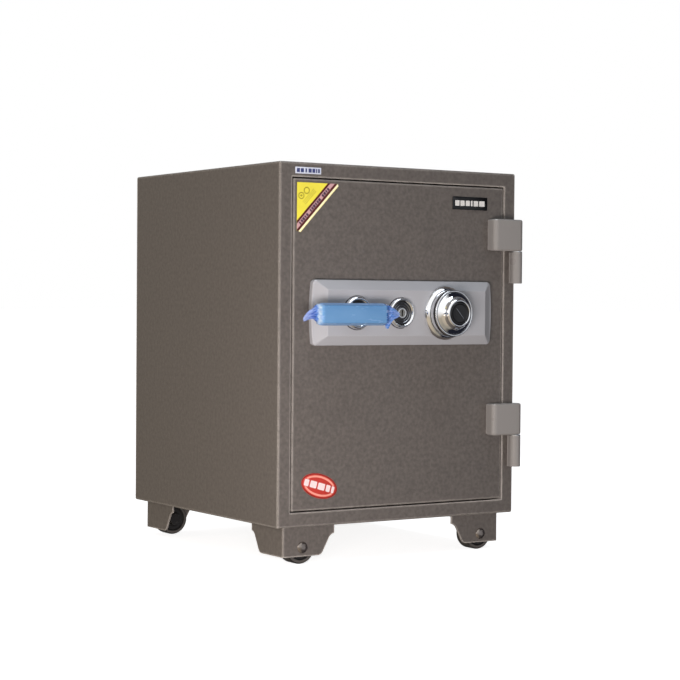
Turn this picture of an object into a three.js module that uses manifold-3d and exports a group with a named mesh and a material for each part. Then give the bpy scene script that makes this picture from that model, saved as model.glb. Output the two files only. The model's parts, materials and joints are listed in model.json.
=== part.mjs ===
// A fire-resistant office safe. The double-walled body holds a shelf and a drawer and rolls on four feet.
// The stepped door hangs on lift-off hinges at the right, and carries the lever, the key lock, the
// combination lock and the boltwork.
// Millimetres: X to the right, Y from the front to the back, Z up from the floor. The body's front face
// is the plane Y = 0 while the pieces are made, and the last lines centre the whole safe over the origin.
import * as THREE from 'three';
import { mergeVertices } from 'three/addons/utils/BufferGeometryUtils.js';
import Module from 'manifold-3d';

const wasm = await Module();
wasm.setup();

// ---------------------------------------------------------------- driving dimensions

// Body
const BODY_WIDTH = 448;
const BODY_DEPTH = 468;
const BODY_HEIGHT = 551;
const FOOT_HEIGHT = 59;
const SHEET = 2;
const HALF_WIDTH = BODY_WIDTH / 2;
const BASE_Z = FOOT_HEIGHT;
const TOP_Z = FOOT_HEIGHT + BODY_HEIGHT;

// Doorway: the slab closes the wide mouth, and the inner pan fills the narrower tunnel behind it
const DOOR_MARGIN = 24.5;
const DOOR_GAP = 2;
const LEDGE_WIDTH = 15.5;
const LEDGE_Y = 30;
const TUNNEL_END_Y = 92;
const CABINET_STEP = 14;
const CABINET_BACK_Y = 413;

// Door
const SLAB_DEPTH = 24;
const PAN_SIDE_CLEARANCE = 13;
const PAN_TOP_CLEARANCE = 6;
const PAN_END_Y = 84;
const FILLING_END_Y = 40;
const MECHANISM_Y = 43.3;

// Lock plate and what stands on it
const LOCK_Z = 383.5;
const LOCK_PLATE_WIDTH = 342;
const LOCK_PLATE_HEIGHT = 100;
const LOCK_PLATE_RIM = 8;
const LOCK_PLATE_RISE = 20;
const LEVER_X = -97;
const KEY_X = -16;
const DIAL_X = 70;

// Boltwork
const BOLT_Y = 60;
const BOLT_RADIUS = 9;
const BOLT_SPACING = 150;
const CRANK_RADIUS = 30;

// Hinges
const HINGE_X = 219.5;
const HINGE_Y = -10;
const KNUCKLE_RADIUS = 9.5;
const KNUCKLE_HEIGHT = 50.5;
const HINGE_JOINT_LEVELS = { lower: 185.5, upper: 482.5 };

// Feet
const FOOT_SIDE_INSET = 19;
const FOOT_FRONT_INSET = 15;
const FOOT_REAR_INSET = 6;
const SKIRT_LENGTH = 93;
const SKIRT_HEIGHT = 47;
const SKIRT_SHEET = 3;
const WHEEL_RADIUS = 26;
const WHEEL_WIDTH = 26;
const AXLE_RADIUS = 6;
const AXLE_FROM_CORNER = 35;

const GAP = 0.3;
const ROUND_STEPS = 24;
const HOLE_STEPS = 12;

// ---------------------------------------------------------------- solids and outlines

// A closed geometry as a solid that can be joined and cut.
function solid(geometry) {
  const bare = geometry.clone();
  bare.deleteAttribute('normal');
  bare.deleteAttribute('uv');
  const welded = mergeVertices(bare, 1e-4);
  const index = welded.index.array;
  const triangles = [];
  for (let i = 0; i < index.length; i += 3) {
    const [a, b, c] = index.slice(i, i + 3);
    if (a !== b && b !== c && c !== a) {
      triangles.push(a, b, c);
    }
  }
  return new wasm.Manifold(new wasm.Mesh({
    numProp: 3,
    vertProperties: new Float32Array(welded.attributes.position.array),
    triVerts: new Uint32Array(triangles),
  }));
}

function geometryOf(shape) {
  const mesh = shape.getMesh();
  const geometry = new THREE.BufferGeometry();
  geometry.setAttribute('position', new THREE.BufferAttribute(mesh.vertProperties, 3));
  geometry.setIndex(new THREE.BufferAttribute(mesh.triVerts, 1));
  geometry.computeVertexNormals();
  return geometry;
}

function join(...shapes) {
  return shapes.reduce((whole, next) => whole.add(next));
}

function cut(whole, ...tools) {
  return tools.reduce((rest, tool) => rest.subtract(tool), whole);
}

function block(x0, x1, y0, y1, z0, z1) {
  const geometry = new THREE.BoxGeometry(x1 - x0, y1 - y0, z1 - z0);
  return solid(geometry.translate((x0 + x1) / 2, (y0 + y1) / 2, (z0 + z1) / 2));
}

// A turned shape around the front-to-back axis through (x, z). Its profile is a list of [radius, y]
// that runs towards the back along the outside.
function turned(profile, x = 0, z = 0, steps = ROUND_STEPS) {
  const points = profile.map(([radius, y]) => new THREE.Vector2(radius, y));
  return solid(new THREE.LatheGeometry(points, steps).translate(x, 0, z));
}

function rodY(radius, y0, y1, x, z, steps = ROUND_STEPS) {
  return turned([[0, y0], [radius, y0], [radius, y1], [0, y1]], x, z, steps);
}

function rodX(radius, x0, x1, y, z, steps = ROUND_STEPS) {
  const geometry = new THREE.CylinderGeometry(radius, radius, x1 - x0, steps).rotateZ(Math.PI / 2);
  return solid(geometry.translate((x0 + x1) / 2, y, z));
}

function rodZ(radius, z0, z1, x, y, steps = ROUND_STEPS) {
  const geometry = new THREE.CylinderGeometry(radius, radius, z1 - z0, steps).rotateX(Math.PI / 2);
  return solid(geometry.translate(x, y, (z0 + z1) / 2));
}

// An outline in the X-Z plane, given thickness from y0 to y1.
function slabOf(outline, y0, y1, curveSegments = 4) {
  const geometry = new THREE.ExtrudeGeometry(outline, { depth: y1 - y0, bevelEnabled: false, curveSegments });
  return solid(geometry.rotateX(Math.PI / 2).translate(0, y1, 0));
}

// An outline in the Y-Z plane, given thickness from x0 to x1.
function cheekOf(outline, x0, x1, curveSegments = 4) {
  const geometry = new THREE.ExtrudeGeometry(outline, { depth: x1 - x0, bevelEnabled: false, curveSegments });
  geometry.rotateX(Math.PI / 2).rotateZ(Math.PI / 2);
  return solid(geometry.translate(x0, 0, 0));
}

function polygon(points) {
  return new THREE.Shape(points.map(([x, z]) => new THREE.Vector2(x, z)));
}

function between(a, b) {
  return [Math.min(a, b), Math.max(a, b)];
}

// A rectangle around the safe's centre line, seen from the front.
function grow(rect, by) {
  return { half: rect.half + by, low: rect.low - by, high: rect.high + by };
}

function fill(rect, y0, y1) {
  return block(-rect.half, rect.half, y0, y1, rect.low, rect.high);
}

function tube(inside, y0, y1, wall) {
  return cut(fill(grow(inside, wall), y0, y1), fill(inside, y0 - 1, y1 + 1));
}

// ---------------------------------------------------------------- nested openings, seen from the front

const SLAB = { half: HALF_WIDTH - DOOR_MARGIN, low: BASE_Z + DOOR_MARGIN, high: TOP_Z - DOOR_MARGIN };
const DOORWAY = grow(SLAB, DOOR_GAP);
const TUNNEL = grow(DOORWAY, -LEDGE_WIDTH);
const CABINET = grow(TUNNEL, -CABINET_STEP);
const PAN = {
  half: TUNNEL.half - PAN_SIDE_CLEARANCE,
  low: TUNNEL.low + PAN_TOP_CLEARANCE,
  high: TUNNEL.high - PAN_TOP_CLEARANCE,
};
const DOOR_MIDDLE = (SLAB.low + SLAB.high) / 2;
const LIVE_BOLT_LEVELS = [DOOR_MIDDLE - BOLT_SPACING, DOOR_MIDDLE, DOOR_MIDDLE + BOLT_SPACING];
const DEAD_BOLT_LEVELS = [DOOR_MIDDLE - BOLT_SPACING, DOOR_MIDDLE + BOLT_SPACING];

// ---------------------------------------------------------------- finishes

const FINISHES = {
  bodyPaint: { color: 0x69625c, roughness: 0.55, metalness: 0.1 },
  hingePaint: { color: 0x8f8a85, roughness: 0.5, metalness: 0.2 },
  silverPaint: { color: 0xa3a7b0, roughness: 0.4, metalness: 0.4 },
  chrome: { color: 0xd8dadd, roughness: 0.12, metalness: 1 },
  steel: { color: 0x9b9da0, roughness: 0.35, metalness: 0.9 },
  brass: { color: 0xb08d4a, roughness: 0.35, metalness: 0.9 },
  blackPlastic: { color: 0x141416, roughness: 0.25, metalness: 0 },
  castIron: { color: 0x3a3735, roughness: 0.6, metalness: 0.3 },
  rubber: { color: 0x1b1b1c, roughness: 0.8, metalness: 0 },
  mineralFill: { color: 0xb9b3a6, roughness: 0.95, metalness: 0 },
  blueFilm: { color: 0x5a8fc0, roughness: 0.3, metalness: 0 },
  linerPaint: { color: 0x8a8680, roughness: 0.6, metalness: 0.05 },
  whiteLabel: { color: 0xe6e6e2, roughness: 0.5, metalness: 0 },
  yellowLabel: { color: 0xe9d52a, roughness: 0.4, metalness: 0 },
  redLabel: { color: 0xc62a20, roughness: 0.35, metalness: 0 },
};

function addPart(group, name, shape, finish, place = [0, 0, 0]) {
  const mesh = new THREE.Mesh(geometryOf(shape), new THREE.MeshStandardMaterial(FINISHES[finish]));
  mesh.name = name;
  mesh.position.set(...place);
  group.add(mesh);
}

// ---------------------------------------------------------------- body

function bodyShell() {
  const outside = block(-HALF_WIDTH, HALF_WIDTH, 0, BODY_DEPTH, BASE_Z, TOP_Z);
  const inside = block(
    -HALF_WIDTH + SHEET, HALF_WIDTH - SHEET, SHEET, BODY_DEPTH + 1, BASE_Z + SHEET, TOP_Z - SHEET);
  return cut(outside, inside, fill(DOORWAY, -1, SHEET + 1));
}

function backPanel() {
  return block(
    -HALF_WIDTH + SHEET, HALF_WIDTH - SHEET, BODY_DEPTH - SHEET, BODY_DEPTH, BASE_Z + SHEET, TOP_Z - SHEET);
}

const POCKET_RADIUS = BOLT_RADIUS + 1.5;
const POCKET_DEPTH = 16;
const DEAD_POCKET_FRONT = 42;
const DEAD_POCKET_BACK = 71;

// The holes that the bolts enter: round at the left, and longer towards the front at the right, where the
// fixed bolts swing in.
function boltPockets(extra) {
  const left = LIVE_BOLT_LEVELS.map((level) => rodX(
    POCKET_RADIUS + extra, -TUNNEL.half - POCKET_DEPTH - extra, -TUNNEL.half + 1, BOLT_Y, level, HOLE_STEPS));
  const right = DEAD_BOLT_LEVELS.map((level) => block(
    TUNNEL.half - 1, TUNNEL.half + POCKET_DEPTH + extra, DEAD_POCKET_FRONT - extra, DEAD_POCKET_BACK + extra,
    level - POCKET_RADIUS - extra, level + POCKET_RADIUS + extra));
  return join(...left, ...right);
}

function doorFrame() {
  const mouth = tube(DOORWAY, SHEET, LEDGE_Y + SHEET, SHEET);
  const ledge = cut(
    fill(grow(DOORWAY, SHEET), LEDGE_Y, LEDGE_Y + SHEET), fill(TUNNEL, LEDGE_Y - 1, LEDGE_Y + SHEET + 1));
  const tunnel = tube(TUNNEL, LEDGE_Y, TUNNEL_END_Y, SHEET);
  const lip = cut(
    fill(grow(TUNNEL, SHEET), TUNNEL_END_Y - SHEET, TUNNEL_END_Y),
    fill(CABINET, TUNNEL_END_Y - SHEET - 1, TUNNEL_END_Y + 1));
  return cut(join(mouth, ledge, tunnel, lip), boltPockets(0));
}

function bodyInsulation() {
  const near = SHEET + GAP;
  const outside = block(
    -HALF_WIDTH + near, HALF_WIDTH - near, near, BODY_DEPTH - near, BASE_Z + near, TOP_Z - near);
  return cut(
    outside,
    fill(grow(DOORWAY, near), 0, LEDGE_Y + near),
    fill(grow(TUNNEL, near), 0, TUNNEL_END_Y + GAP),
    fill(grow(CABINET, near), 0, CABINET_BACK_Y + near),
    boltPockets(GAP));
}

const SHELF_TOP = 420;
const SHELF_FRONT_Y = 100;
const SHELF_LIP = 12;
const SHELF_RAIL_REACH = 16;
const SHELF_RAIL_UPRIGHT = 18;
const DRAWER_RAIL_UPRIGHT = 24;
const DRAWER_RAIL_REACH = 24;
const DRAWER_FLOOR = 322;
const DRAWER_HEIGHT = 80;
const DRAWER_HALF = 158;
const DRAWER_FRONT_Y = 112;
const DRAWER_BACK_Y = 392;
const DRAWER_FACE = { half: 164, low: 318, high: 404 };
const DRAWER_FACE_SHEET = 3;

function shelf() {
  const half = CABINET.half - 1;
  return join(
    block(-half, half, SHELF_FRONT_Y, CABINET_BACK_Y - 1, SHELF_TOP - SHEET, SHELF_TOP),
    block(-half, half, SHELF_FRONT_Y, SHELF_FRONT_Y + SHEET, SHELF_TOP - SHELF_LIP, SHELF_TOP - 1));
}

// An angle on one side wall of the cabinet, from y0 to y1: an upright leg and a flat leg that reaches inwards.
function rail(side, y0, y1, uprightLow, uprightHigh, flatTop, reach) {
  const wall = side * CABINET.half;
  return join(
    block(...between(wall, wall - side * SHEET), y0, y1, uprightLow, uprightHigh),
    block(...between(wall, wall - side * reach), y0, y1, flatTop - SHEET, flatTop));
}

// The cabinet's walls, with the rails that carry the shelf and the drawer spot-welded to them.
function innerLiner() {
  const walls = cut(
    fill(grow(CABINET, SHEET), TUNNEL_END_Y, CABINET_BACK_Y + SHEET),
    fill(CABINET, TUNNEL_END_Y - 1, CABINET_BACK_Y));
  const shelfLevel = SHELF_TOP - SHEET;
  const drawerLevel = DRAWER_FLOOR - 0.5;
  const rails = [-1, 1].flatMap((side) => [
    rail(side, SHELF_FRONT_Y + 10, CABINET_BACK_Y - 13, shelfLevel - SHELF_RAIL_UPRIGHT, shelfLevel,
      shelfLevel, SHELF_RAIL_REACH),
    rail(side, DRAWER_FRONT_Y + SHEET, DRAWER_BACK_Y, drawerLevel - SHEET, drawerLevel + DRAWER_RAIL_UPRIGHT,
      drawerLevel, DRAWER_RAIL_REACH),
  ]);
  return join(walls, ...rails);
}

const LABEL_THICKNESS = 0.4;

function modelLabel() {
  return block(-197, -151, -LABEL_THICKNESS, 0, 592.5, 602.5);
}

function addBody(safe) {
  addPart(safe, 'body_shell', bodyShell(), 'bodyPaint');
  addPart(safe, 'back_panel', backPanel(), 'bodyPaint');
  addPart(safe, 'door_frame', doorFrame(), 'bodyPaint');
  addPart(safe, 'inner_liner', innerLiner(), 'linerPaint');
  addPart(safe, 'body_insulation', bodyInsulation(), 'mineralFill');
  addPart(safe, 'shelf', shelf(), 'linerPaint');
  addPart(safe, 'model_label', modelLabel(), 'whiteLabel');
}

// ---------------------------------------------------------------- drawer

const DRAWER_SHEET = 1.5;
const DRAWER_LOCK_X = 120;

// The tray and its wider front panel, with a hole for the lock.
function drawerTray() {
  const top = DRAWER_FLOOR + DRAWER_HEIGHT;
  const middle = (DRAWER_FACE.low + DRAWER_FACE.high) / 2;
  const face = DRAWER_FRONT_Y - DRAWER_FACE_SHEET;
  const outside = join(
    block(-DRAWER_HALF, DRAWER_HALF, DRAWER_FRONT_Y - 1, DRAWER_BACK_Y, DRAWER_FLOOR, top),
    fill(DRAWER_FACE, face, DRAWER_FRONT_Y));
  const inside = block(
    -DRAWER_HALF + DRAWER_SHEET, DRAWER_HALF - DRAWER_SHEET, DRAWER_FRONT_Y, DRAWER_BACK_Y - DRAWER_SHEET,
    DRAWER_FLOOR + DRAWER_SHEET, top + 1);
  return cut(outside, inside, rodY(8.4, face - 1, DRAWER_FRONT_Y + 1, DRAWER_LOCK_X, middle, HOLE_STEPS));
}

function drawerPull() {
  const middle = (DRAWER_FACE.low + DRAWER_FACE.high) / 2;
  const face = DRAWER_FRONT_Y - DRAWER_FACE_SHEET;
  const outside = block(-48, 48, face - 12, face, middle - 5, middle + 5);
  return cut(outside, block(-41, 41, face - 9, face + 1, middle - 6, middle + 6));
}

function drawerLock() {
  const middle = (DRAWER_FACE.low + DRAWER_FACE.high) / 2;
  const face = DRAWER_FRONT_Y - DRAWER_FACE_SHEET;
  const back = DRAWER_FRONT_Y;
  const barrel = turned(
    [[0, face - 3], [9, face - 3], [10, face - 2], [10, face], [8, face], [8, back], [0, back]],
    DRAWER_LOCK_X, middle, HOLE_STEPS);
  const keyway = block(DRAWER_LOCK_X - 1, DRAWER_LOCK_X + 1, face - 4, face - 1, middle - 4, middle + 4);
  return cut(barrel, keyway);
}

function addDrawer(safe) {
  addPart(safe, 'drawer_tray', drawerTray(), 'linerPaint');
  addPart(safe, 'drawer_pull', drawerPull(), 'chrome');
  addPart(safe, 'drawer_lock', drawerLock(), 'steel');
}

// ---------------------------------------------------------------- door

const SPINDLE_RADIUS = 7;
const DIAL_SPINDLE_RADIUS = 4;
const CYLINDER_RADIUS = 12;

// The three holes through the door for the lever, the key cylinder and the dial spindle.
function lockHoles(y0, y1) {
  return join(
    rodY(SPINDLE_RADIUS + 1, y0, y1, LEVER_X, LOCK_Z, HOLE_STEPS),
    rodY(CYLINDER_RADIUS + 0.8, y0, y1, KEY_X, LOCK_Z, HOLE_STEPS),
    rodY(DIAL_SPINDLE_RADIUS + 1, y0, y1, DIAL_X, LOCK_Z, HOLE_STEPS));
}

function doorSkin() {
  const pan = cut(fill(SLAB, 0, SLAB_DEPTH), fill(grow(SLAB, -SHEET), SHEET, SLAB_DEPTH + 1));
  return cut(pan, lockHoles(-1, SHEET + 1));
}

const COVER_LUG = 16;
const LUG_ROWS = [PAN.low + SHEET, DOOR_MIDDLE - COVER_LUG / 2, PAN.high - SHEET - COVER_LUG];

// The lugs inside the pan that the inner cover is screwed to, in three rows at both sides.
function coverLugs() {
  const wall = PAN.half - SHEET;
  return LUG_ROWS.flatMap((low) => [-1, 1].map((side) => block(
    ...between(side * wall, side * (wall - COVER_LUG)), PAN_END_Y - 3, PAN_END_Y, low, low + COVER_LUG)));
}

function doorLiner() {
  const inside = grow(PAN, -SHEET);
  const flange = cut(
    fill(grow(SLAB, -SHEET - GAP), SLAB_DEPTH - SHEET, SLAB_DEPTH),
    fill(inside, SLAB_DEPTH - SHEET - 1, SLAB_DEPTH + 1));
  const wall = tube(inside, SLAB_DEPTH - SHEET, PAN_END_Y, SHEET);
  const liveHoles = LIVE_BOLT_LEVELS.map(
    (level) => rodX(BOLT_RADIUS + 0.8, -PAN.half - 1, -PAN.half + SHEET + 1, BOLT_Y, level, HOLE_STEPS));
  const deadHoles = DEAD_BOLT_LEVELS.map(
    (level) => rodX(BOLT_RADIUS + 0.8, PAN.half - SHEET - 1, PAN.half + 1, BOLT_Y, level, HOLE_STEPS));
  return cut(join(flange, wall, ...coverLugs()), ...liveHoles, ...deadHoles);
}

function doorInsulation() {
  const near = SHEET + GAP;
  return cut(
    join(
      fill(grow(SLAB, -near), near, SLAB_DEPTH - near),
      fill(grow(PAN, -near), SLAB_DEPTH - near - 1, FILLING_END_Y)),
    lockHoles(0, FILLING_END_Y + 1));
}

function doorCover() {
  return fill(PAN, PAN_END_Y, PAN_END_Y + SHEET);
}

function doorSeal() {
  return tube(grow(PAN, 3), SLAB_DEPTH, SLAB_DEPTH + 4, 7);
}

const GUIDE_X = -168;
const GUIDE_REACH = BOLT_SPACING + 15;

// The plate that the mechanism is mounted on, with the bolts' guide strip and the post of the wheel pack.
function lockworkPlate() {
  const sheet = fill(grow(PAN, -SHEET - GAP), FILLING_END_Y + GAP, MECHANISM_Y);
  const guide = block(
    GUIDE_X, GUIDE_X + 4, MECHANISM_Y - 1, PAN_END_Y - 4, DOOR_MIDDLE - GUIDE_REACH, DOOR_MIDDLE + GUIDE_REACH);
  const guideHoles = LIVE_BOLT_LEVELS.map(
    (level) => rodX(BOLT_RADIUS + 0.8, GUIDE_X - 2, GUIDE_X + 6, BOLT_Y, level, HOLE_STEPS));
  const post = rodY(DIAL_SPINDLE_RADIUS + 2, MECHANISM_Y - 1, DRIVE_CAM_Y - 1, DIAL_X, LOCK_Z, HOLE_STEPS);
  const postHole = rodY(DIAL_SPINDLE_RADIUS + 0.5, FILLING_END_Y, DRIVE_CAM_Y, DIAL_X, LOCK_Z, HOLE_STEPS);
  return cut(
    join(cut(sheet, lockHoles(FILLING_END_Y, MECHANISM_Y + 1)), guide, post), postHole, ...guideHoles);
}

// The front plate's outline: a rectangle around the locks whose short ends bow outwards a little.
function lockPlateOutline(bow, corner) {
  const x = LOCK_PLATE_WIDTH / 2 - bow;
  const low = LOCK_Z - LOCK_PLATE_HEIGHT / 2;
  const high = LOCK_Z + LOCK_PLATE_HEIGHT / 2;
  const shape = new THREE.Shape();
  shape.moveTo(-x + corner, low);
  shape.lineTo(x - corner, low);
  shape.quadraticCurveTo(x, low, x + bow * 0.3, low + corner);
  shape.quadraticCurveTo(x + bow * 1.7, LOCK_Z, x + bow * 0.3, high - corner);
  shape.quadraticCurveTo(x, high, x - corner, high);
  shape.lineTo(-x + corner, high);
  shape.quadraticCurveTo(-x, high, -x - bow * 0.3, high - corner);
  shape.quadraticCurveTo(-x - bow * 1.7, LOCK_Z, -x - bow * 0.3, low + corner);
  shape.quadraticCurveTo(-x, low, -x + corner, low);
  return shape;
}

// A raised cushion: a straight rim, and above it four slopes up to a flat face.
function lockPlate() {
  const sideSlope = 18;
  const topSlope = 14.5;
  const half = LOCK_PLATE_WIDTH / 2 - 4;
  const low = LOCK_Z - LOCK_PLATE_HEIGHT / 2 + 0.5;
  const high = LOCK_Z + LOCK_PLATE_HEIGHT / 2 - 0.5;
  const root = -LOCK_PLATE_RIM + 1;
  const rim = slabOf(lockPlateOutline(3, 6), -LOCK_PLATE_RIM, 0);
  const plan = polygon([
    [-half, root], [half, root], [half, -LOCK_PLATE_RIM], [half - sideSlope, -LOCK_PLATE_RISE],
    [sideSlope - half, -LOCK_PLATE_RISE], [-half, -LOCK_PLATE_RIM],
  ]);
  const planExtrusion = new THREE.ExtrudeGeometry(plan, { depth: high - low, bevelEnabled: false });
  const sideSlopes = solid(planExtrusion.translate(0, 0, low));
  const topSlopes = cheekOf(polygon([
    [root, low], [root, high], [-LOCK_PLATE_RIM, high], [-LOCK_PLATE_RISE, high - topSlope],
    [-LOCK_PLATE_RISE, low + topSlope], [-LOCK_PLATE_RIM, low],
  ]), -half, half);
  return cut(join(rim, sideSlopes.intersect(topSlopes)), lockHoles(-LOCK_PLATE_RISE - 1, 1));
}

function leverRose() {
  const base = -LOCK_PLATE_RISE;
  return turned([
    [9, base - 2.5], [17.5, base - 2.5], [19, base - 5.5], [22, base - 8], [24.5, base - 6.8], [26.5, base - 2],
    [26.5, base], [9, base], [9, base - 2.5],
  ], LEVER_X, LOCK_Z);
}

function keyRose() {
  const base = -LOCK_PLATE_RISE;
  return turned([
    [17.5, base - 5.5], [19, base - 7], [21.6, base - 6.3], [24, base - 3.5], [24.3, base], [17.5, base],
    [17.5, base - 5.5],
  ], KEY_X, LOCK_Z);
}

const CYLINDER_FACE_Y = -24.5;
const PLUG_RADIUS = 8;

function keyCylinder() {
  const seat = -LOCK_PLATE_RISE;
  const body = turned([
    [0, CYLINDER_FACE_Y], [15.5, CYLINDER_FACE_Y], [17, CYLINDER_FACE_Y + 1.5], [17, seat],
    [CYLINDER_RADIUS, seat], [CYLINDER_RADIUS, MECHANISM_Y + 0.5], [0, MECHANISM_Y + 0.5],
  ], KEY_X, LOCK_Z);
  return cut(body, rodY(PLUG_RADIUS + 0.1, CYLINDER_FACE_Y - 1, MECHANISM_Y + 2, KEY_X, LOCK_Z));
}

const CAM_Y = 45;
const CAM_REACH = 18;
const CAM_HALF_WIDTH = 4;
const CAM_THICKNESS = 4;

function keyPlug() {
  const plug = rodY(PLUG_RADIUS, CYLINDER_FACE_Y - 0.8, MECHANISM_Y, KEY_X, LOCK_Z);
  const tail = rodY(CAM_HALF_WIDTH, MECHANISM_Y - 1, CAM_Y + CAM_THICKNESS, KEY_X, LOCK_Z, HOLE_STEPS);
  const cam = block(
    KEY_X, KEY_X + CAM_REACH - 1, CAM_Y, CAM_Y + CAM_THICKNESS,
    LOCK_Z - CAM_HALF_WIDTH, LOCK_Z + CAM_HALF_WIDTH);
  const keyway = block(
    KEY_X - 1.2, KEY_X + 1.2, CYLINDER_FACE_Y - 2, CYLINDER_FACE_Y + 10, LOCK_Z - 5, LOCK_Z + 5);
  return cut(join(plug, tail, cam), keyway);
}

const DIAL_FLANGE_RADIUS = 42;
const DIAL_RADIUS = 36.5;
const DIAL_BACK_Y = -31;
const DIAL_FACE_Y = -45;
const KNOB_FACE_Y = -59;
const DIAL_STEPS = 32;

function dialFlange() {
  const base = -LOCK_PLATE_RISE;
  return turned([
    [6, base - 7], [30, base - 7], [33, base - 10], [38.5, base - 10], [DIAL_FLANGE_RADIUS, base - 5],
    [DIAL_FLANGE_RADIUS, base], [6, base], [6, base - 7],
  ], DIAL_X, LOCK_Z, DIAL_STEPS);
}

function dialKnob() {
  return turned([
    [DIAL_SPINDLE_RADIUS + 0.3, KNOB_FACE_Y + 3], [17.8, KNOB_FACE_Y + 3], [17.8, KNOB_FACE_Y],
    [19.6, KNOB_FACE_Y], [22.5, KNOB_FACE_Y + 8], [28, DIAL_FACE_Y - 1.5], [DIAL_RADIUS, DIAL_FACE_Y + 2],
    [DIAL_RADIUS, DIAL_BACK_Y],
    [DIAL_SPINDLE_RADIUS + 0.3, DIAL_BACK_Y], [DIAL_SPINDLE_RADIUS + 0.3, KNOB_FACE_Y + 3],
  ], DIAL_X, LOCK_Z, DIAL_STEPS);
}

function dialCap() {
  const back = KNOB_FACE_Y + 2.8;
  return turned(
    [[0, KNOB_FACE_Y - 0.3], [16.5, KNOB_FACE_Y - 0.3], [17.5, KNOB_FACE_Y + 0.5], [17.5, back], [0, back]],
    DIAL_X, LOCK_Z, DIAL_STEPS);
}

// ---------------------------------------------------------------- combination lock

const CASE_HALF = 40;
const CASE_END_Y = 78;
const CASE_SHEET = 3;
const WHEEL_PACK_RADIUS = 26;
const WHEEL_PACK_PLACES = [50, 56, 62];
const WHEEL_PACK_THICKNESS = 4;
const DRIVE_CAM_Y = 69;
const LOCK_BOLT = { x0: DIAL_X - 8, x1: DIAL_X + 4, y0: 51, y1: 59, z0: 411, z1: 424.5 };

// The case around the wheel pack, open towards the mounting plate.
function lockCase() {
  const outside = block(
    DIAL_X - CASE_HALF, DIAL_X + CASE_HALF, MECHANISM_Y, CASE_END_Y, LOCK_Z - CASE_HALF, LOCK_Z + CASE_HALF);
  const inner = CASE_HALF - CASE_SHEET;
  const inside = block(
    DIAL_X - inner, DIAL_X + inner, MECHANISM_Y - 1, CASE_END_Y - CASE_SHEET, LOCK_Z - inner, LOCK_Z + inner);
  const boltSlot = block(
    LOCK_BOLT.x0 - GAP, LOCK_BOLT.x1 + GAP, LOCK_BOLT.y0 - GAP, LOCK_BOLT.y1 + GAP,
    LOCK_Z + inner - 1, LOCK_Z + CASE_HALF + 1);
  return cut(outside, inside, boltSlot);
}

function packWheel(y0) {
  const disc = rodY(WHEEL_PACK_RADIUS, y0, y0 + WHEEL_PACK_THICKNESS, DIAL_X, LOCK_Z);
  const boreRadius = DIAL_SPINDLE_RADIUS + 2.6;
  const bore = rodY(boreRadius, y0 - 1, y0 + WHEEL_PACK_THICKNESS + 1, DIAL_X, LOCK_Z, HOLE_STEPS);
  const gate = block(
    DIAL_X - 3, DIAL_X + 3, y0 - 1, y0 + WHEEL_PACK_THICKNESS + 1,
    LOCK_Z + WHEEL_PACK_RADIUS - 6, LOCK_Z + WHEEL_PACK_RADIUS + 1);
  return cut(disc, bore, gate);
}

function dialSpindle() {
  const rod = rodY(DIAL_SPINDLE_RADIUS, KNOB_FACE_Y + 3, DRIVE_CAM_Y + 4, DIAL_X, LOCK_Z, HOLE_STEPS);
  const cam = rodY(22, DRIVE_CAM_Y, DRIVE_CAM_Y + 4, DIAL_X, LOCK_Z);
  const gate = block(DIAL_X - 3, DIAL_X + 3, DRIVE_CAM_Y - 1, DRIVE_CAM_Y + 5, LOCK_Z + 15, LOCK_Z + 23);
  return cut(join(rod, cam), gate);
}

function lockBolt() {
  return block(LOCK_BOLT.x0, LOCK_BOLT.x1, LOCK_BOLT.y0, LOCK_BOLT.y1, LOCK_BOLT.z0, LOCK_BOLT.z1);
}

// ---------------------------------------------------------------- boltwork

const CARRIAGE_Y = 53;
const CARRIAGE_THICKNESS = 5;
const CARRIAGE_LEFT = -132;
const CARRIAGE_RIGHT = -112;
const BOLT_TIP_X = -171.5;
const CRANK_Y = 46;

// The upright bar with three arms: the slotted one that the crank drives, the upper one whose lug the
// combination lock stops, and the lower one whose lug the key cam stops.
function boltCarriage() {
  const back = CARRIAGE_Y + CARRIAGE_THICKNESS;
  const flat = (x0, x1, z0, z1) => block(x0, x1, CARRIAGE_Y, back, z0, z1);
  const upright = flat(CARRIAGE_LEFT, CARRIAGE_RIGHT, DOOR_MIDDLE - GUIDE_REACH, DOOR_MIDDLE + GUIDE_REACH);
  const slotArm = flat(CARRIAGE_RIGHT - 1, LEVER_X + 13, LOCK_Z + 4.5, LOCK_Z + 53);
  const upperArm = flat(CARRIAGE_RIGHT - 1, DIAL_X + 14, LOCK_Z + 52.5, LOCK_Z + 62.5);
  const upperLug = flat(DIAL_X + 8, DIAL_X + 14, LOCK_Z + 42.5, LOCK_Z + 53);
  const lowerArm = flat(CARRIAGE_RIGHT - 1, KEY_X + 18.5, LOCK_Z - 24, LOCK_Z - 14);
  const lowerLug = block(KEY_X + 12.5, KEY_X + 18.5, CAM_Y, back, LOCK_Z - 24, LOCK_Z - 14);
  const slot = block(
    LEVER_X - 6.5, LEVER_X + 6.5, CARRIAGE_Y - 1, back + 1, LOCK_Z + 8.5, LOCK_Z + CRANK_RADIUS + 6.5);
  return cut(join(upright, slotArm, upperArm, upperLug, lowerArm, lowerLug), slot);
}

function liveBolt(level) {
  const shank = rodX(BOLT_RADIUS, BOLT_TIP_X + 2, CARRIAGE_LEFT, BOLT_Y, level);
  const nose = new THREE.CylinderGeometry(BOLT_RADIUS, BOLT_RADIUS - 2, 2, ROUND_STEPS).rotateZ(-Math.PI / 2);
  return join(shank, solid(nose.translate(BOLT_TIP_X + 1, BOLT_Y, level)));
}

function deadBolt(level) {
  return join(
    rodX(BOLT_RADIUS, PAN.half - SHEET - 1, TUNNEL.half + 12, BOLT_Y, level),
    rodX(BOLT_RADIUS + 3, PAN.half - SHEET - 6, PAN.half - SHEET, BOLT_Y, level));
}

// ---------------------------------------------------------------- lever

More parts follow.
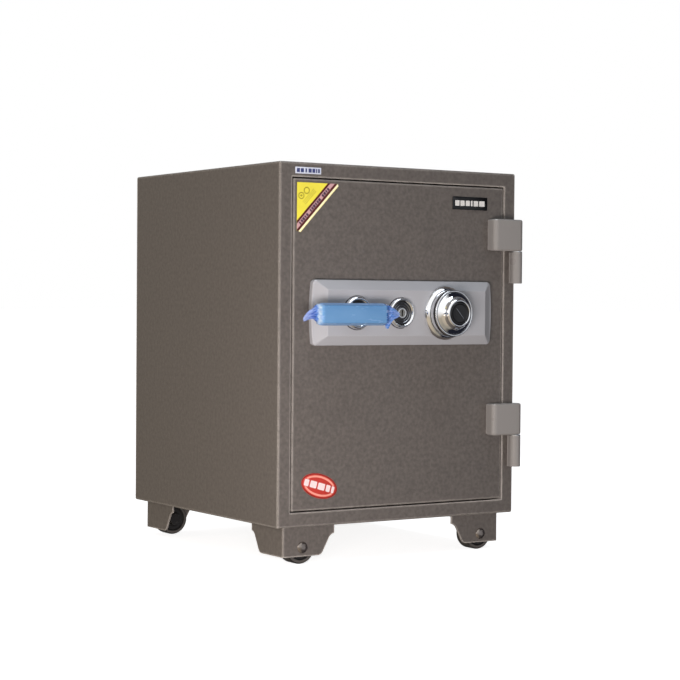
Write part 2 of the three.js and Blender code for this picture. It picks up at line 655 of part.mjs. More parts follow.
const GRIP = { x0: -176, x1: -68, y0: -58.5, y1: -43.5, z: LOCK_Z - 2, halfHeight: 12.5, chamfer: 5 };
const FILM_SLACK = 0.7;
const FILM_SKIN = 1.5;

// The grip's bar, with an eight-sided section.
function gripBar() {
  const front = GRIP.y0;
  const back = GRIP.y1;
  const low = GRIP.z - GRIP.halfHeight;
  const high = GRIP.z + GRIP.halfHeight;
  const c = GRIP.chamfer;
  const section = polygon([
    [front + c, low], [back - c / 2, low], [back, low + c / 2], [back, high - c / 2], [back - c / 2, high],
    [front + c, high], [front, high - c], [front, low + c],
  ]);
  return cheekOf(section, GRIP.x0, GRIP.x1);
}

function leverGrip() {
  const neck = turned(
    [[0, GRIP.y1 - 1], [10, GRIP.y1 - 1], [8.5, -36], [8.5, -24], [0, -24]], LEVER_X, LOCK_Z);
  const socket = rodY(SPINDLE_RADIUS + 0.3, GRIP.y1, -23, LEVER_X, LOCK_Z, HOLE_STEPS);
  return cut(join(gripBar(), neck), socket);
}

function leverSpindle() {
  const rod = rodY(SPINDLE_RADIUS, GRIP.y1 + GAP, CRANK_Y + 4.5, LEVER_X, LOCK_Z, HOLE_STEPS);
  const arm = join(
    block(LEVER_X - 7, LEVER_X + 7, CRANK_Y, CRANK_Y + 4.5, LOCK_Z, LOCK_Z + CRANK_RADIUS),
    rodY(7, CRANK_Y, CRANK_Y + 4.5, LEVER_X, LOCK_Z + CRANK_RADIUS, HOLE_STEPS));
  const pinEnd = CARRIAGE_Y + CARRIAGE_THICKNESS + 2;
  const pin = rodY(4, CRANK_Y + 4, pinEnd, LEVER_X, LOCK_Z + CRANK_RADIUS, HOLE_STEPS);
  return join(rod, arm, pin);
}

// The film's section, grown outwards from the grip by skin: it stands off above and below the bar.
function filmWrap(skin) {
  const front = GRIP.y0 - skin;
  const fold = -51;
  const back = GRIP.y1 + skin;
  const section = polygon([
    [front, GRIP.z - 10.5 - skin], [fold, GRIP.z - 14.8 - skin], [back, GRIP.z - 12.5 - skin],
    [back, GRIP.z + 12.5 + skin], [fold, GRIP.z + 14.8 + skin], [front, GRIP.z + 10.5 + skin],
  ]);
  return cheekOf(section, GRIP.x0 - skin, GRIP.x1 + skin);
}

// Protective film wrapped around the grip, with a gathered tail at both ends.
function leverFilm() {
  const wrap = filmWrap(FILM_SLACK + FILM_SKIN);
  const leftTail = polygon([
    [-177, 397.5], [-188, 397.5], [-193, 390], [-203, 384.5], [-211, 372], [-208, 370.5], [-198, 375],
    [-186, 371.5], [-177, 367.5],
  ]);
  const rightTail = polygon([
    [-67, 397.5], [-62, 396.5], [-56.5, 388], [-48.5, 391], [-38.5, 383], [-37, 379], [-48.5, 368],
    [-52.5, 359.5], [-61.5, 356.5], [-63.5, 365], [-67, 366],
  ]);
  const tails = join(slabOf(leftTail, -53, -45), slabOf(rightTail, -53, -45));
  const hollow = filmWrap(FILM_SLACK);
  const neckHole = rodY(12.5, GRIP.y1 - 1, -30, LEVER_X, LOCK_Z, HOLE_STEPS);
  return cut(join(wrap, tails), hollow, neckHole);
}

// ---------------------------------------------------------------- hinges and door trim

function hingeLeaf(level) {
  const low = level + 1.5;
  const high = level + 1.5 + KNUCKLE_HEIGHT + 0.5;
  const front = HINGE_Y - KNUCKLE_RADIUS;
  const arm = block(168.5, HINGE_X, front, HINGE_Y + KNUCKLE_RADIUS, low, high);
  const seat = block(168.5, 197.5, -1, 0, low, high);
  const knuckle = rodZ(KNUCKLE_RADIUS, low, high, HINGE_X, HINGE_Y);
  return cut(join(arm, seat, knuckle), rodZ(5.5, low - 1, low + 36, HINGE_X, HINGE_Y, HOLE_STEPS));
}

function hingeBarrel(level) {
  const low = level - KNUCKLE_HEIGHT;
  const knuckle = rodZ(KNUCKLE_RADIUS, low, level, HINGE_X, HINGE_Y);
  const web = block(HINGE_X - 7, HINGE_X + 3, HINGE_Y, 0, low, level);
  return cut(join(knuckle, web), rodZ(5.5, low + 4, level + 1, HINGE_X, HINGE_Y, HOLE_STEPS));
}

// The pin, with the collar that the leaf turns on.
function hingePin(level) {
  return join(
    rodZ(5, level - KNUCKLE_HEIGHT + 4.5, level + 34, HINGE_X, HINGE_Y, HOLE_STEPS),
    rodZ(KNUCKLE_RADIUS, level, level + 1.2, HINGE_X, HINGE_Y));
}

function nameplate() {
  return block(97, 166, -1.2, 0, 548.5, 569);
}

function cornerSticker() {
  const outline = polygon([[-193.5, 579.5], [-121, 579.5], [-119.5, 576], [-187, 504.5], [-193.5, 507]]);
  return slabOf(outline, -LABEL_THICKNESS, 0);
}

function ovalSticker() {
  const outline = new THREE.Shape();
  outline.absellipse(-150, 120, 33, 18.5, 0, 2 * Math.PI, false, THREE.MathUtils.degToRad(-16));
  return slabOf(outline, -LABEL_THICKNESS, 0, ROUND_STEPS);
}

function addDoor(safe) {
  addPart(safe, 'door_skin', doorSkin(), 'bodyPaint');
  addPart(safe, 'door_liner', doorLiner(), 'bodyPaint');
  addPart(safe, 'door_insulation', doorInsulation(), 'mineralFill');
  addPart(safe, 'door_cover', doorCover(), 'linerPaint');
  addPart(safe, 'door_seal', doorSeal(), 'rubber');
  addPart(safe, 'lockwork_plate', lockworkPlate(), 'steel');
  addPart(safe, 'lock_plate', lockPlate(), 'silverPaint');
  for (const [place, level] of Object.entries(HINGE_JOINT_LEVELS)) {
    addPart(safe, `hinge_leaf_${place}`, hingeLeaf(level), 'hingePaint');
    addPart(safe, `hinge_barrel_${place}`, hingeBarrel(level), 'hingePaint');
    addPart(safe, `hinge_pin_${place}`, hingePin(level), 'steel');
  }
  addPart(safe, 'nameplate', nameplate(), 'blackPlastic');
  addPart(safe, 'corner_sticker', cornerSticker(), 'yellowLabel');
  addPart(safe, 'oval_sticker', ovalSticker(), 'redLabel');
}

function addLocks(safe) {
  addPart(safe, 'lever_rose', leverRose(), 'chrome');
  addPart(safe, 'lever_grip', leverGrip(), 'chrome');
  addPart(safe, 'lever_spindle', leverSpindle(), 'steel');
  addPart(safe, 'lever_film', leverFilm(), 'blueFilm');
  addPart(safe, 'key_rose', keyRose(), 'chrome');
  addPart(safe, 'key_cylinder', keyCylinder(), 'steel');
  addPart(safe, 'key_plug', keyPlug(), 'brass');
  addPart(safe, 'dial_flange', dialFlange(), 'chrome');
  addPart(safe, 'dial_knob', dialKnob(), 'chrome');
  addPart(safe, 'dial_cap', dialCap(), 'blackPlastic');
  addPart(safe, 'dial_spindle', dialSpindle(), 'steel');
  addPart(safe, 'lock_case', lockCase(), 'steel');
  WHEEL_PACK_PLACES.forEach((y0, place) => addPart(safe, `pack_wheel_${place + 1}`, packWheel(y0), 'brass'));
  addPart(safe, 'lock_bolt', lockBolt(), 'brass');
  addPart(safe, 'bolt_carriage', boltCarriage(), 'steel');
  LIVE_BOLT_LEVELS.forEach((level, place) => addPart(safe, `live_bolt_${place + 1}`, liveBolt(level), 'steel'));
  DEAD_BOLT_LEVELS.forEach((level, place) => addPart(safe, `dead_bolt_${place + 1}`, deadBolt(level), 'steel'));
}

// ---------------------------------------------------------------- roller feet

// A skirt's outline from its outer corner: u runs inwards and v down from the body's underside.
function skirtOutline(place) {
  const shape = new THREE.Shape();
  const to = (u, v) => place(u, BASE_Z - v);
  shape.moveTo(...to(0, 0));
  shape.lineTo(...to(SKIRT_LENGTH, 0));
  shape.lineTo(...to(SKIRT_LENGTH, 14.5));
  shape.quadraticCurveTo(...to(SKIRT_LENGTH - 7, 15.5), ...to(SKIRT_LENGTH - 10, 21.5));
  shape.lineTo(...to(SKIRT_LENGTH - 21, 42));
  shape.quadraticCurveTo(...to(SKIRT_LENGTH - 24, SKIRT_HEIGHT), ...to(SKIRT_LENGTH - 30, SKIRT_HEIGHT));
  shape.lineTo(...to(0, SKIRT_HEIGHT));
  return shape;
}

// One foot: side is -1 at the left, and end is -1 at the front.
function footLayout(side, end) {
  const cornerX = side * (HALF_WIDTH - FOOT_SIDE_INSET);
  const cornerY = end < 0 ? FOOT_FRONT_INSET : BODY_DEPTH - FOOT_REAR_INSET;
  return { cornerX, cornerY, inX: -side, inY: -end, axleX: cornerX - side * AXLE_FROM_CORNER };
}

function footBracket({ cornerX, cornerY, inX, inY, axleX }) {
  const across = between(cornerY, cornerY + inY * SKIRT_SHEET);
  const along = between(cornerX, cornerX + inX * SKIRT_SHEET);
  const front = slabOf(skirtOutline((u, z) => [cornerX + inX * u, z]), ...across);
  const side = cheekOf(skirtOutline((u, z) => [cornerY + inY * u, z]), ...along);
  const top = block(
    ...between(cornerX, cornerX + inX * SKIRT_LENGTH), ...between(cornerY, cornerY + inY * SKIRT_LENGTH),
    BASE_Z - SKIRT_SHEET, BASE_Z);
  const axleHole = rodY(AXLE_RADIUS + 0.4, across[0] - 1, across[1] + 1, axleX, WHEEL_RADIUS, HOLE_STEPS);
  return cut(join(front, side, top), axleHole);
}

// A roller around its own centre: a drum with a bore and rounded shoulders.
function roller() {
  const half = WHEEL_WIDTH / 2;
  const bore = AXLE_RADIUS + 0.5;
  const shoulder = WHEEL_RADIUS - 2.5;
  return turned([
    [bore, -half], [shoulder, -half], [WHEEL_RADIUS, -half + 2.5], [WHEEL_RADIUS, half - 2.5], [shoulder, half],
    [bore, half], [bore, -half],
  ]);
}

// A shoulder bolt from outside the skirt to its nut behind the roller.
function axleBolt({ cornerY, inY, axleX }) {
  const nutStart = SKIRT_SHEET + 2 + WHEEL_WIDTH + 1.5;
  const profile = [
    [0, -4], [5, -3.4], [9, 0], [AXLE_RADIUS, 0], [AXLE_RADIUS, nutStart], [9.5, nutStart],
    [9.5, nutStart + 6], [0, nutStart + 6],
  ];
  const places = profile.map(([radius, y]) => [radius, cornerY + inY * y]);
  return turned(inY > 0 ? places : places.reverse(), axleX, WHEEL_RADIUS, HOLE_STEPS);
}

function addFeet(safe) {
  for (const [end, endName] of [[-1, 'front'], [1, 'rear']]) {
    for (const [side, sideName] of [[-1, 'left'], [1, 'right']]) {
      const foot = footLayout(side, end);
      const wheelY = foot.cornerY + foot.inY * (SKIRT_SHEET + 2 + WHEEL_WIDTH / 2);
      addPart(safe, `foot_bracket_${endName}_${sideName}`, footBracket(foot), 'bodyPaint');
      addPart(safe, `roller_${endName}_${sideName}`, roller(), 'castIron', [foot.axleX, wheelY, WHEEL_RADIUS]);
      addPart(safe, `axle_bolt_${endName}_${sideName}`, axleBolt(foot), 'bodyPaint');
    }
  }
}

// ---------------------------------------------------------------- the whole safe

const safe = new THREE.Group();
addBody(safe);
addDrawer(safe);
addDoor(safe);
addLocks(safe);
addFeet(safe);

// The origin is under the middle of the whole safe, hinges, lever and film included.
const extent = new THREE.Box3().setFromObject(safe);
const middle = extent.getCenter(new THREE.Vector3());
safe.position.set(-middle.x, -middle.y, -extent.min.z);

export default safe;
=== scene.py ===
"""An office safe on roller feet in a plain studio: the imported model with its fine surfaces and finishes."""
import json
import math

import bmesh
import bpy
from mathutils import Matrix, Vector, noise


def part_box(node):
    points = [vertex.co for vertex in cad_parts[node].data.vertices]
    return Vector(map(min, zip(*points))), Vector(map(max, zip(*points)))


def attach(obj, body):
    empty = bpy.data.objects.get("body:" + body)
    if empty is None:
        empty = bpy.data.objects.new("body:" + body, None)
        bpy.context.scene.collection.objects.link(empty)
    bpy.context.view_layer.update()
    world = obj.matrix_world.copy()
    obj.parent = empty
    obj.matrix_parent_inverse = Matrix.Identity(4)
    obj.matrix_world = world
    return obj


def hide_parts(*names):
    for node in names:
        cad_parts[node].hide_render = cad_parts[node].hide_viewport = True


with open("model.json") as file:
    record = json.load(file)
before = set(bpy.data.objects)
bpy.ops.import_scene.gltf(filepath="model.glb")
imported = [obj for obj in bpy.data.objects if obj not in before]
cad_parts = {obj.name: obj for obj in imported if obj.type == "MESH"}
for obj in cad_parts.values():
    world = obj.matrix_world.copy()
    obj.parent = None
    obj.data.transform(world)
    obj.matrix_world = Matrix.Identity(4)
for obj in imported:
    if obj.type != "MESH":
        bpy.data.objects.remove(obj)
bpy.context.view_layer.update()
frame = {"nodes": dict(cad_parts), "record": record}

scene = bpy.context.scene
BODY_OF = {
    node: body
    for body, nodes in frame["record"]["behaviour"]["bodies"].items()
    for node in nodes
}
SLOT_OF = {s["node"]: s["material_slot"] for s in frame["record"]["subparts"]}
MM = 0.001
CORNERS = ("front_left", "front_right", "rear_left", "rear_right")


# ---- camera

def make_camera(place, azimuth, elevation, roll, lens):
    """A camera at place that looks along an azimuth (0 is along +Y) and down by elevation, in degrees."""
    a, e, r = (math.radians(x) for x in (azimuth, elevation, roll))
    back = Vector((math.sin(a) * math.cos(e), -math.cos(a) * math.cos(e), math.sin(e)))
    right = Vector((math.cos(a), math.sin(a), 0))
    up = back.cross(right)
    right, up = right * math.cos(r) + up * math.sin(r), up * math.cos(r) - right * math.sin(r)
    data = bpy.data.cameras.new("camera")
    data.lens = lens
    data.sensor_width = 36
    data.clip_start = 0.05
    data.clip_end = 200
    camera = bpy.data.objects.new("camera", data)
    camera.matrix_world = Matrix((
        (right.x, up.x, back.x, place[0]),
        (right.y, up.y, back.y, place[1]),
        (right.z, up.z, back.z, place[2]),
        (0, 0, 0, 1),
    ))
    scene.collection.objects.link(camera)
    scene.camera = camera


make_camera(place=(-1.6409, -2.5329, 0.4013), azimuth=-33.198, elevation=1.225, roll=0.455, lens=96.49)
scene.view_settings.view_transform = "Standard"


# ---- node materials

def colour_of(value):
    """A colour with its alpha, from a colour or from one number for a grey."""
    return (*value, 1) if isinstance(value, tuple) else (value, value, value, 1)


class Nodes:
    """Short calls for the nodes of a material or of the world."""

    def __init__(self, tree):
        self.tree = tree

    def node(self, kind, **settings):
        made = self.tree.nodes.new(kind)
        for key, value in settings.items():
            setattr(made, key, value)
        return made

    def set(self, node, socket, value):
        node.inputs[socket].default_value = value

    def join(self, output, node, socket):
        self.tree.links.new(output, node.inputs[socket])

    def ramp(self, value, *stops):
        """Maps a value to greys or colours: each stop is (place, colour)."""
        made = self.node("ShaderNodeValToRGB")
        self.join(value, made, "Fac")
        elements = made.color_ramp.elements
        while len(elements) < len(stops):
            elements.new(0.5)
        for element, (place, colour) in zip(elements, stops):
            element.position = place
            element.color = colour_of(colour)
        return made.outputs["Color"]

    def mix(self, factor, first, second, blend="MIX"):
        """Mixes two colours by a factor; each of the three is a socket or a value."""
        made = self.node("ShaderNodeMix", data_type="RGBA", blend_type=blend)
        for value, place in ((factor, 0), (first, 6), (second, 7)):
            if isinstance(value, bpy.types.NodeSocket):
                self.join(value, made, place)
            else:
                self.set(made, place, colour_of(value) if place else value)
        return made.outputs[2]


class Shader(Nodes):
    """A Principled material."""

    def __init__(self, name, colour, roughness, metallic=0.0, **sockets):
        self.material = bpy.data.materials.new(name)
        self.material.use_nodes = True
        super().__init__(self.material.node_tree)
        self.bsdf = self.tree.nodes["Principled BSDF"]
        self.colour = colour
        self.set(self.bsdf, "Base Color", (*colour, 1))
        self.set(self.bsdf, "Roughness", roughness)
        self.set(self.bsdf, "Metallic", metallic)
        for socket, value in sockets.items():
            self.set(self.bsdf, socket.replace("_", " "), value)
        self.where = self.node("ShaderNodeTexCoord").outputs["Object"]

    def noise(self, size_mm, detail=3.0, rough=0.55, stretch=None):
        """Noise with features about size_mm across, from 0 to 1."""
        where = self.where
        if stretch:
            mapping = self.node("ShaderNodeMapping")
            mapping.inputs["Scale"].default_value = stretch
            self.join(where, mapping, "Vector")
            where = mapping.outputs["Vector"]
        made = self.node("ShaderNodeTexNoise")
        self.join(where, made, "Vector")
        self.set(made, "Scale", 1000.0 / size_mm)
        self.set(made, "Detail", detail)
        self.set(made, "Roughness", rough)
        return made.outputs["Fac"]

    def span(self, value, low, high):
        """Stretches a noise's middle range to low..high."""
        made = self.node("ShaderNodeMapRange")
        self.join(value, made, "Value")
        self.set(made, "From Min", 0.3)
        self.set(made, "From Max", 0.7)
        self.set(made, "To Min", low)
        self.set(made, "To Max", high)
        return made.outputs["Result"]

    def shade(self, value, contrast):
        """The base colour, darker and lighter by contrast as the value goes from 0.3 to 0.7."""
        dark = tuple(c * (1 - contrast) for c in self.colour)
        light = tuple(min(1, c * (1 + contrast)) for c in self.colour)
        return self.ramp(value, (0.3, dark), (0.7, light))

    def edges(self, reach_mm, first, last):
        """White along the convex edges, fading within reach_mm of them."""
        around = self.node("ShaderNodeBevel", samples=6)
        self.set(around, "Radius", reach_mm * MM)
        true = self.node("ShaderNodeNewGeometry")
        along = self.node("ShaderNodeVectorMath", operation="DOT_PRODUCT")
        self.join(around.outputs["Normal"], along, 0)
        self.join(true.outputs["True Normal"], along, 1)
        away = self.node("ShaderNodeMath", operation="SUBTRACT")
        self.set(away, 0, 1.0)
        self.join(along.outputs["Value"], away, 1)
        return self.ramp(away.outputs[0], (first, 0), (last, 1))

    def edge_highlight(self, reach_mm, last, patch_mm, least, most):
        """A mask of painted highlight on the convex edges, from least to most in patches along them."""
        uneven = self.ramp(self.noise(patch_mm, 4.0), (0.3, least), (0.6, most))
        return self.mix(1.0, self.edges(reach_mm, 0.004, last), uneven, "MULTIPLY")

    def along(self, axis, low, high):
        """0 to 1 as the object's own x, y or z goes from low to high, in metres."""
        split = self.node("ShaderNodeSeparateXYZ")
        self.join(self.where, split, "Vector")
        made = self.node("ShaderNodeMapRange")
        self.join(split.outputs[axis], made, "Value")
        self.set(made, "From Min", low)
        self.set(made, "From Max", high)
        return made.outputs["Result"]

    def bump(self, *layers):
        """Adds height layers, each (value, depth in mm)."""
        normal = None
        for value, depth in layers:
            made = self.node("ShaderNodeBump")
            self.set(made, "Strength", 1.0)
            self.set(made, "Distance", depth * MM)
            self.join(value, made, "Height")
            if normal:
                self.join(normal, made, "Normal")
            normal = made.outputs["Normal"]
        self.join(normal, self.bsdf, "Normal")


def textured_paint(name, colour, roughness, grain_mm, depth_mm, contrast=0.12, paling=0.5):
    """Powder coat: an orange-peel grain, small specks, slow patches, and a painted highlight that makes the
    convex edges paler.
    """
    s = Shader(name, colour, roughness, Coat_Weight=0.2, Coat_Roughness=0.2, Specular_IOR_Level=0.4)
    grain = s.noise(grain_mm, 4.0, 0.6)
    patches = s.noise(45, 3.0)
    specks = s.noise(grain_mm * 4.5, 3.0)
    base = s.mix(0.5, s.shade(grain, contrast), s.shade(patches, contrast * 0.5))
    base = s.mix(0.5, base, s.shade(specks, contrast * 1.8))
    # Painted highlight: the convex edges turn paler, more in some patches than others; paling sets how much.
    edge_highlight = s.edge_highlight(4.0, 0.07, 25, paling * 0.6, paling)
    s.join(s.mix(edge_highlight, base, (0.56, 0.52, 0.48)), s.bsdf, "Base Color")
    s.join(s.span(patches, roughness - 0.04, roughness + 0.05), s.bsdf, "Roughness")
    s.bump((grain, depth_mm), (specks, depth_mm * 0.8))
    return s.material


def smooth_paint(name, colour, roughness, metallic=0.0, flake=0.05, paling=0.35):
    """Sprayed paint: nearly smooth, with faint flow marks, fine flake and a painted highlight that makes the
    edges paler.
    """
    s = Shader(name, colour, roughness, metallic, Coat_Weight=0.3, Coat_Roughness=0.18)
    flakes = s.noise(0.5, 2.0)
    cloud = s.noise(60, 2.0)
    # Painted highlight: the convex edges turn paler, towards a lighter copy of the colour.
    edge_highlight = s.edge_highlight(3.0, 0.08, 18, paling * 0.5, paling)
    base = s.mix(0.5, s.shade(flakes, flake), s.shade(cloud, flake * 0.7))
    s.join(s.mix(edge_highlight, base, tuple(min(0.9, c * 1.9) for c in colour)), s.bsdf, "Base Color")
    s.join(s.span(cloud, roughness - 0.05, roughness + 0.05), s.bsdf, "Roughness")
    s.bump((s.noise(6, 2.0), 0.012))
    return s.material


def plated(name, colour, roughness, scratch=0.05, stretch=(1, 1, 1), spread=0.04):
    """Plated or machined metal with hairline marks along the stretched directions."""
    s = Shader(name, colour, roughness, 1.0)
    hairs = s.noise(1.2, 4.0, 0.7, stretch)
    haze = s.noise(14, 3.0)
    s.join(s.shade(haze, scratch), s.bsdf, "Base Color")
    s.join(s.span(hairs, max(0.02, roughness - spread), roughness + spread), s.bsdf, "Roughness")
    s.bump((hairs, 0.0015))
    return s.material


def moulded(name, colour, roughness, grain=0.01):
    """Moulded plastic or vinyl: faint grain and slight gloss changes."""
    s = Shader(name, colour, roughness)
    fine = s.noise(0.8, 3.0)
    cloud = s.noise(20, 2.0)
    s.join(s.shade(cloud, 0.05), s.bsdf, "Base Color")
    s.join(s.span(fine, roughness - 0.03, roughness + 0.05), s.bsdf, "Roughness")
    s.bump((fine, grain))
    return s.material


def cast_iron(name):
    """Blackened iron: a coarse sand-cast skin with brighter patches of wear, and a painted highlight along the
    convex edges.
    """
    s = Shader(name, (0.018, 0.017, 0.017), 0.45, 0.3)
    skin = s.noise(1.4, 5.0, 0.65)
    wear = s.noise(9, 4.0)
    paling = s.ramp(wear, (0.56, 0), (0.72, 1))
    dark = s.mix(paling, s.shade(skin, 0.3), (0.06, 0.057, 0.055))
    # Painted highlight: the convex edges paler.
    s.join(s.mix(s.edges(1.2, 0.02, 0.2), dark, (0.16, 0.155, 0.15)), s.bsdf, "Base Color")
    s.join(s.span(skin, 0.36, 0.55), s.bsdf, "Roughness")
    s.bump((skin, 0.06))
    return s.material


def mineral(name):
    """Foamed concrete: pale, pitted and dusty."""
    s = Shader(name, (0.48, 0.44, 0.38), 0.9)
    cells = s.node("ShaderNodeTexVoronoi")
    s.join(s.where, cells, "Vector")
    s.set(cells, "Scale", 350.0)
    pits = s.ramp(cells.outputs["Distance"], (0.1, 0), (0.45, 1))
    s.join(s.mix(pits, s.shade(s.noise(8), 0.3), s.shade(s.noise(30), 0.1)), s.bsdf, "Base Color")
    s.bump((pits, 0.3), (s.noise(2), 0.2))
    return s.material


def film(name):
    """Blue protective film: even on the flats; painted light makes the sloped folds paler; painted highlight
    and shade mark the gathered ends and pleats; frayed at the tips.
    """
    s = Shader(name, (0.13, 0.32, 0.62), 0.2, Coat_Weight=0.3, Coat_Roughness=0.1)
    low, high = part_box("lever_film")
    creases = s.noise(5.0, 4.0, 0.6, (0.2, 1, 1))
    cloud = s.noise(30, 2.0, 0.5, (0.5, 1, 1))
    flat = s.ramp(cloud, (0.3, (0.12, 0.31, 0.60)), (0.7, (0.155, 0.355, 0.65)))
    # Painted light: the sloped strips towards the back of the film are paler, as where light falls on them.
    fold = s.ramp(s.along("Y", low.y, high.y), (0.05, 0), (0.3, 0.6))
    flat = s.mix(fold, flat, (0.34, 0.52, 0.84))
    length = s.along("X", low.x, high.x)
    # Painted highlight and shade along the length: a bright crescent where the film stretches over the left end
    # of the bar, deep blue shade in the gathered folds at both ends.
    ends = s.ramp(
        length, (0.0, (0.45, 0.52, 0.86)), (0.07, (0.20, 0.33, 0.84)), (0.105, (0.05, 0.15, 0.60)),
        (0.130, (0.08, 0.25, 0.74)), (0.142, (0.66, 0.86, 1.0)), (0.156, (0.17, 0.40, 0.74)),
        (0.80, (0.1, 0.3, 0.6)), (0.825, (0.03, 0.12, 0.40)), (0.85, (0.10, 0.30, 0.85)),
        (0.93, (0.16, 0.36, 0.85)), (1.0, (0.35, 0.5, 0.9)))
    at_ends = s.ramp(length, (0.0, 1), (0.15, 1), (0.18, 0), (0.80, 0), (0.82, 1))
    pleats = s.ramp(s.noise(3.4, 2.0, 0.5, (0.1, 1, 1)), (0.46, 0), (0.62, 0.6))
    tone = s.mix(at_ends, flat, s.mix(pleats, ends, (0.42, 0.58, 0.96)))
    pale = s.ramp(creases, (0.62, 0), (0.78, 0.4))
    s.join(s.mix(pale, tone, (0.42, 0.60, 0.92)), s.bsdf, "Base Color")
    s.join(s.span(creases, 0.14, 0.3), s.bsdf, "Roughness")
    thick = s.ramp(length, (0.0, 0.42), (0.10, 0.74), (0.15, 0.88), (0.8, 0.88), (1.0, 0.6))
    s.join(s.mix(fold, thick, 0.72), s.bsdf, "Alpha")
    s.bump((creases, 0.02))
    return s.material


BODY_COLOUR = (0.131, 0.1155, 0.1045)
FINISHES = {name: make(name, *values) for name, make, *values in (
    # body_paint's last number sets its painted edge highlight high.
    ("body_paint", textured_paint, BODY_COLOUR, 0.42, 1.2, 0.035, 0.2, 0.95),
    ("liner_paint", textured_paint, (0.24, 0.225, 0.2), 0.5, 0.8, 0.015, 0.06),
    ("hinge_paint", smooth_paint, (0.31, 0.293, 0.28), 0.30),
    ("plate_paint", smooth_paint, (0.435, 0.44, 0.466), 0.34, 0.0),
    ("chrome", plated, (0.86, 0.87, 0.89), 0.06, 0.03),
    ("steel", plated, (0.52, 0.52, 0.53), 0.3, 0.12, (1, 6, 1), 0.08),
    ("brass", plated, (0.66, 0.48, 0.21), 0.24, 0.12, (1, 4, 1), 0.08),
    ("black_plastic", moulded, (0.006, 0.006, 0.007), 0.16, 0.002),
    ("roller_iron", cast_iron),
    ("seal_rubber", moulded, (0.012, 0.012, 0.012), 0.7, 0.05),
    ("mineral_fill", mineral),
    ("blue_film", film),
    ("white_label", moulded, (0.74, 0.79, 0.92), 0.4, 0.004),
    ("yellow_label", moulded, (0.88, 0.78, 0.075), 0.3, 0.004),
    ("red_label", moulded, (0.58, 0.042, 0.03), 0.3, 0.004),
)}
GUNMETAL = plated("gunmetal", (0.26, 0.27, 0.29), 0.14, 0.1, (1, 1, 1), 0.05)
NICKEL = plated("nickel", (0.34, 0.33, 0.30), 0.22, 0.12, (1, 4, 1), 0.08)
WORN_IRON = smooth_paint("worn_iron", (0.085, 0.076, 0.069), 0.5, 0.3, 0.2, 0.3)
# The bolt heads' paint: its last number gives the strongest painted highlight, on the crest of each head.
BOLT_PAINT = smooth_paint("bolt_paint", (0.24, 0.21, 0.19), 0.17, 0.8, 0.05, 1.0)
PRINTS = {ink: moulded(ink, colour, roughness, 0.003) for ink, colour, roughness in (
    ("print_white", (0.85, 0.84, 0.82), 0.4),
    ("print_pink", (0.68, 0.40, 0.42), 0.4),
    ("print_maroon", (0.09, 0.008, 0.006), 0.4),
    ("print_navy", (0.05, 0.065, 0.20), 0.4),
    ("print_cream", (0.97, 0.90, 0.58), 0.4),
    ("print_ochre", (0.26, 0.20, 0.015), 0.4),
    ("black_print_and_shade", (0.01, 0.01, 0.012), 0.35),
    ("print_blush", (0.95, 0.36, 0.28), 0.4),
    ("print_rose", (0.95, 0.78, 0.78), 0.4),
    ("print_plum", (0.06, 0.028, 0.06), 0.4),
)}
# Painted light: the yellow label and the cream print glow faintly, so they look brighter than the lamps make
# them.
for finish, colour, strength in (
        (FINISHES["yellow_label"], (1.0, 0.85, 0.06), 0.09), (PRINTS["print_cream"], (1.0, 0.93, 0.45), 0.14)):
    shader = finish.node_tree.nodes["Principled BSDF"]
    shader.inputs["Emission Color"].default_value = colour_of(colour)
    shader.inputs["Emission Strength"].default_value = strength


# ---- making and placing pieces

def middle(node):
    low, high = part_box(node)
    return (low + high) / 2


def piece(name, bm, body, slot, nodes=(), sharp=35, even=True, finish=None):
    """A finished mesh object that rides on a body, and stands for the CAD nodes named."""
    mesh = bpy.data.meshes.new(name)
    bm.to_mesh(mesh)
    bm.free()
    mesh.shade_smooth()
    mesh.set_sharp_from_angle(angle=math.radians(sharp))
    mesh.materials.append(finish or FINISHES[slot])
    made = bpy.data.objects.new(name, mesh)
    scene.collection.objects.link(made)
    if even:
        weights = made.modifiers.new("even_normals", "WEIGHTED_NORMAL")
        weights.keep_sharp = True
    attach(made, body)
    if nodes:
        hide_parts(*nodes)
    return made


def fine(node, bm, sharp=35, even=True, finish=None, slot=None):
    """The piece that stands for one CAD node, on its body and in its slot unless another is named."""
    return piece(f"{node}_fine", bm, BODY_OF[node], slot or SLOT_OF[node], [node], sharp, even, finish)


def soften(points, radius, steps=4, closed=False):
    """An outline with each corner rounded by about the radius."""
    points = [Vector(p) for p in points]
    out = []
    for i, p in enumerate(points):
        if not closed and i in (0, len(points) - 1):
            out.append(p)
            continue
        before, after = points[i - 1] - p, points[(i + 1) % len(points)] - p
        reach = min(radius, 0.45 * before.length, 0.45 * after.length)
        start, end = p + before.normalized() * reach, p + after.normalized() * reach
        for k in range(steps + 1):
            t = k / steps
            out.append(start * (1 - t) ** 2 + p * 2 * t * (1 - t) + end * t * t)
    return out


def lathe(profile, centre, axis="y", steps=96):
    """Turns a profile of (radius, along) in millimetres about an axis through centre, in metres."""
    bm = bmesh.new()
    rings = []
    for r, t in profile:
        ring = []
        for k in range(1 if r < 1e-6 else steps):
            turn = 2 * math.pi * k / steps
            u, v, w = r * MM * math.cos(turn), r * MM * math.sin(turn), t * MM
            ring.append(bm.verts.new(Vector(centre) + Vector((u, w, v) if axis == "y" else (u, v, w))))
        rings.append(ring)
    for a, b in zip(rings, rings[1:]):
        for k in range(steps):
            n = (k + 1) % steps
            corners = [a[0]] if len(a) == 1 else [a[k], a[n]]
            corners += [b[0]] if len(b) == 1 else [b[n], b[k]]
            if len(corners) > 2:
                bm.faces.new(corners)
    bmesh.ops.recalc_face_normals(bm, faces=bm.faces)
    return bm


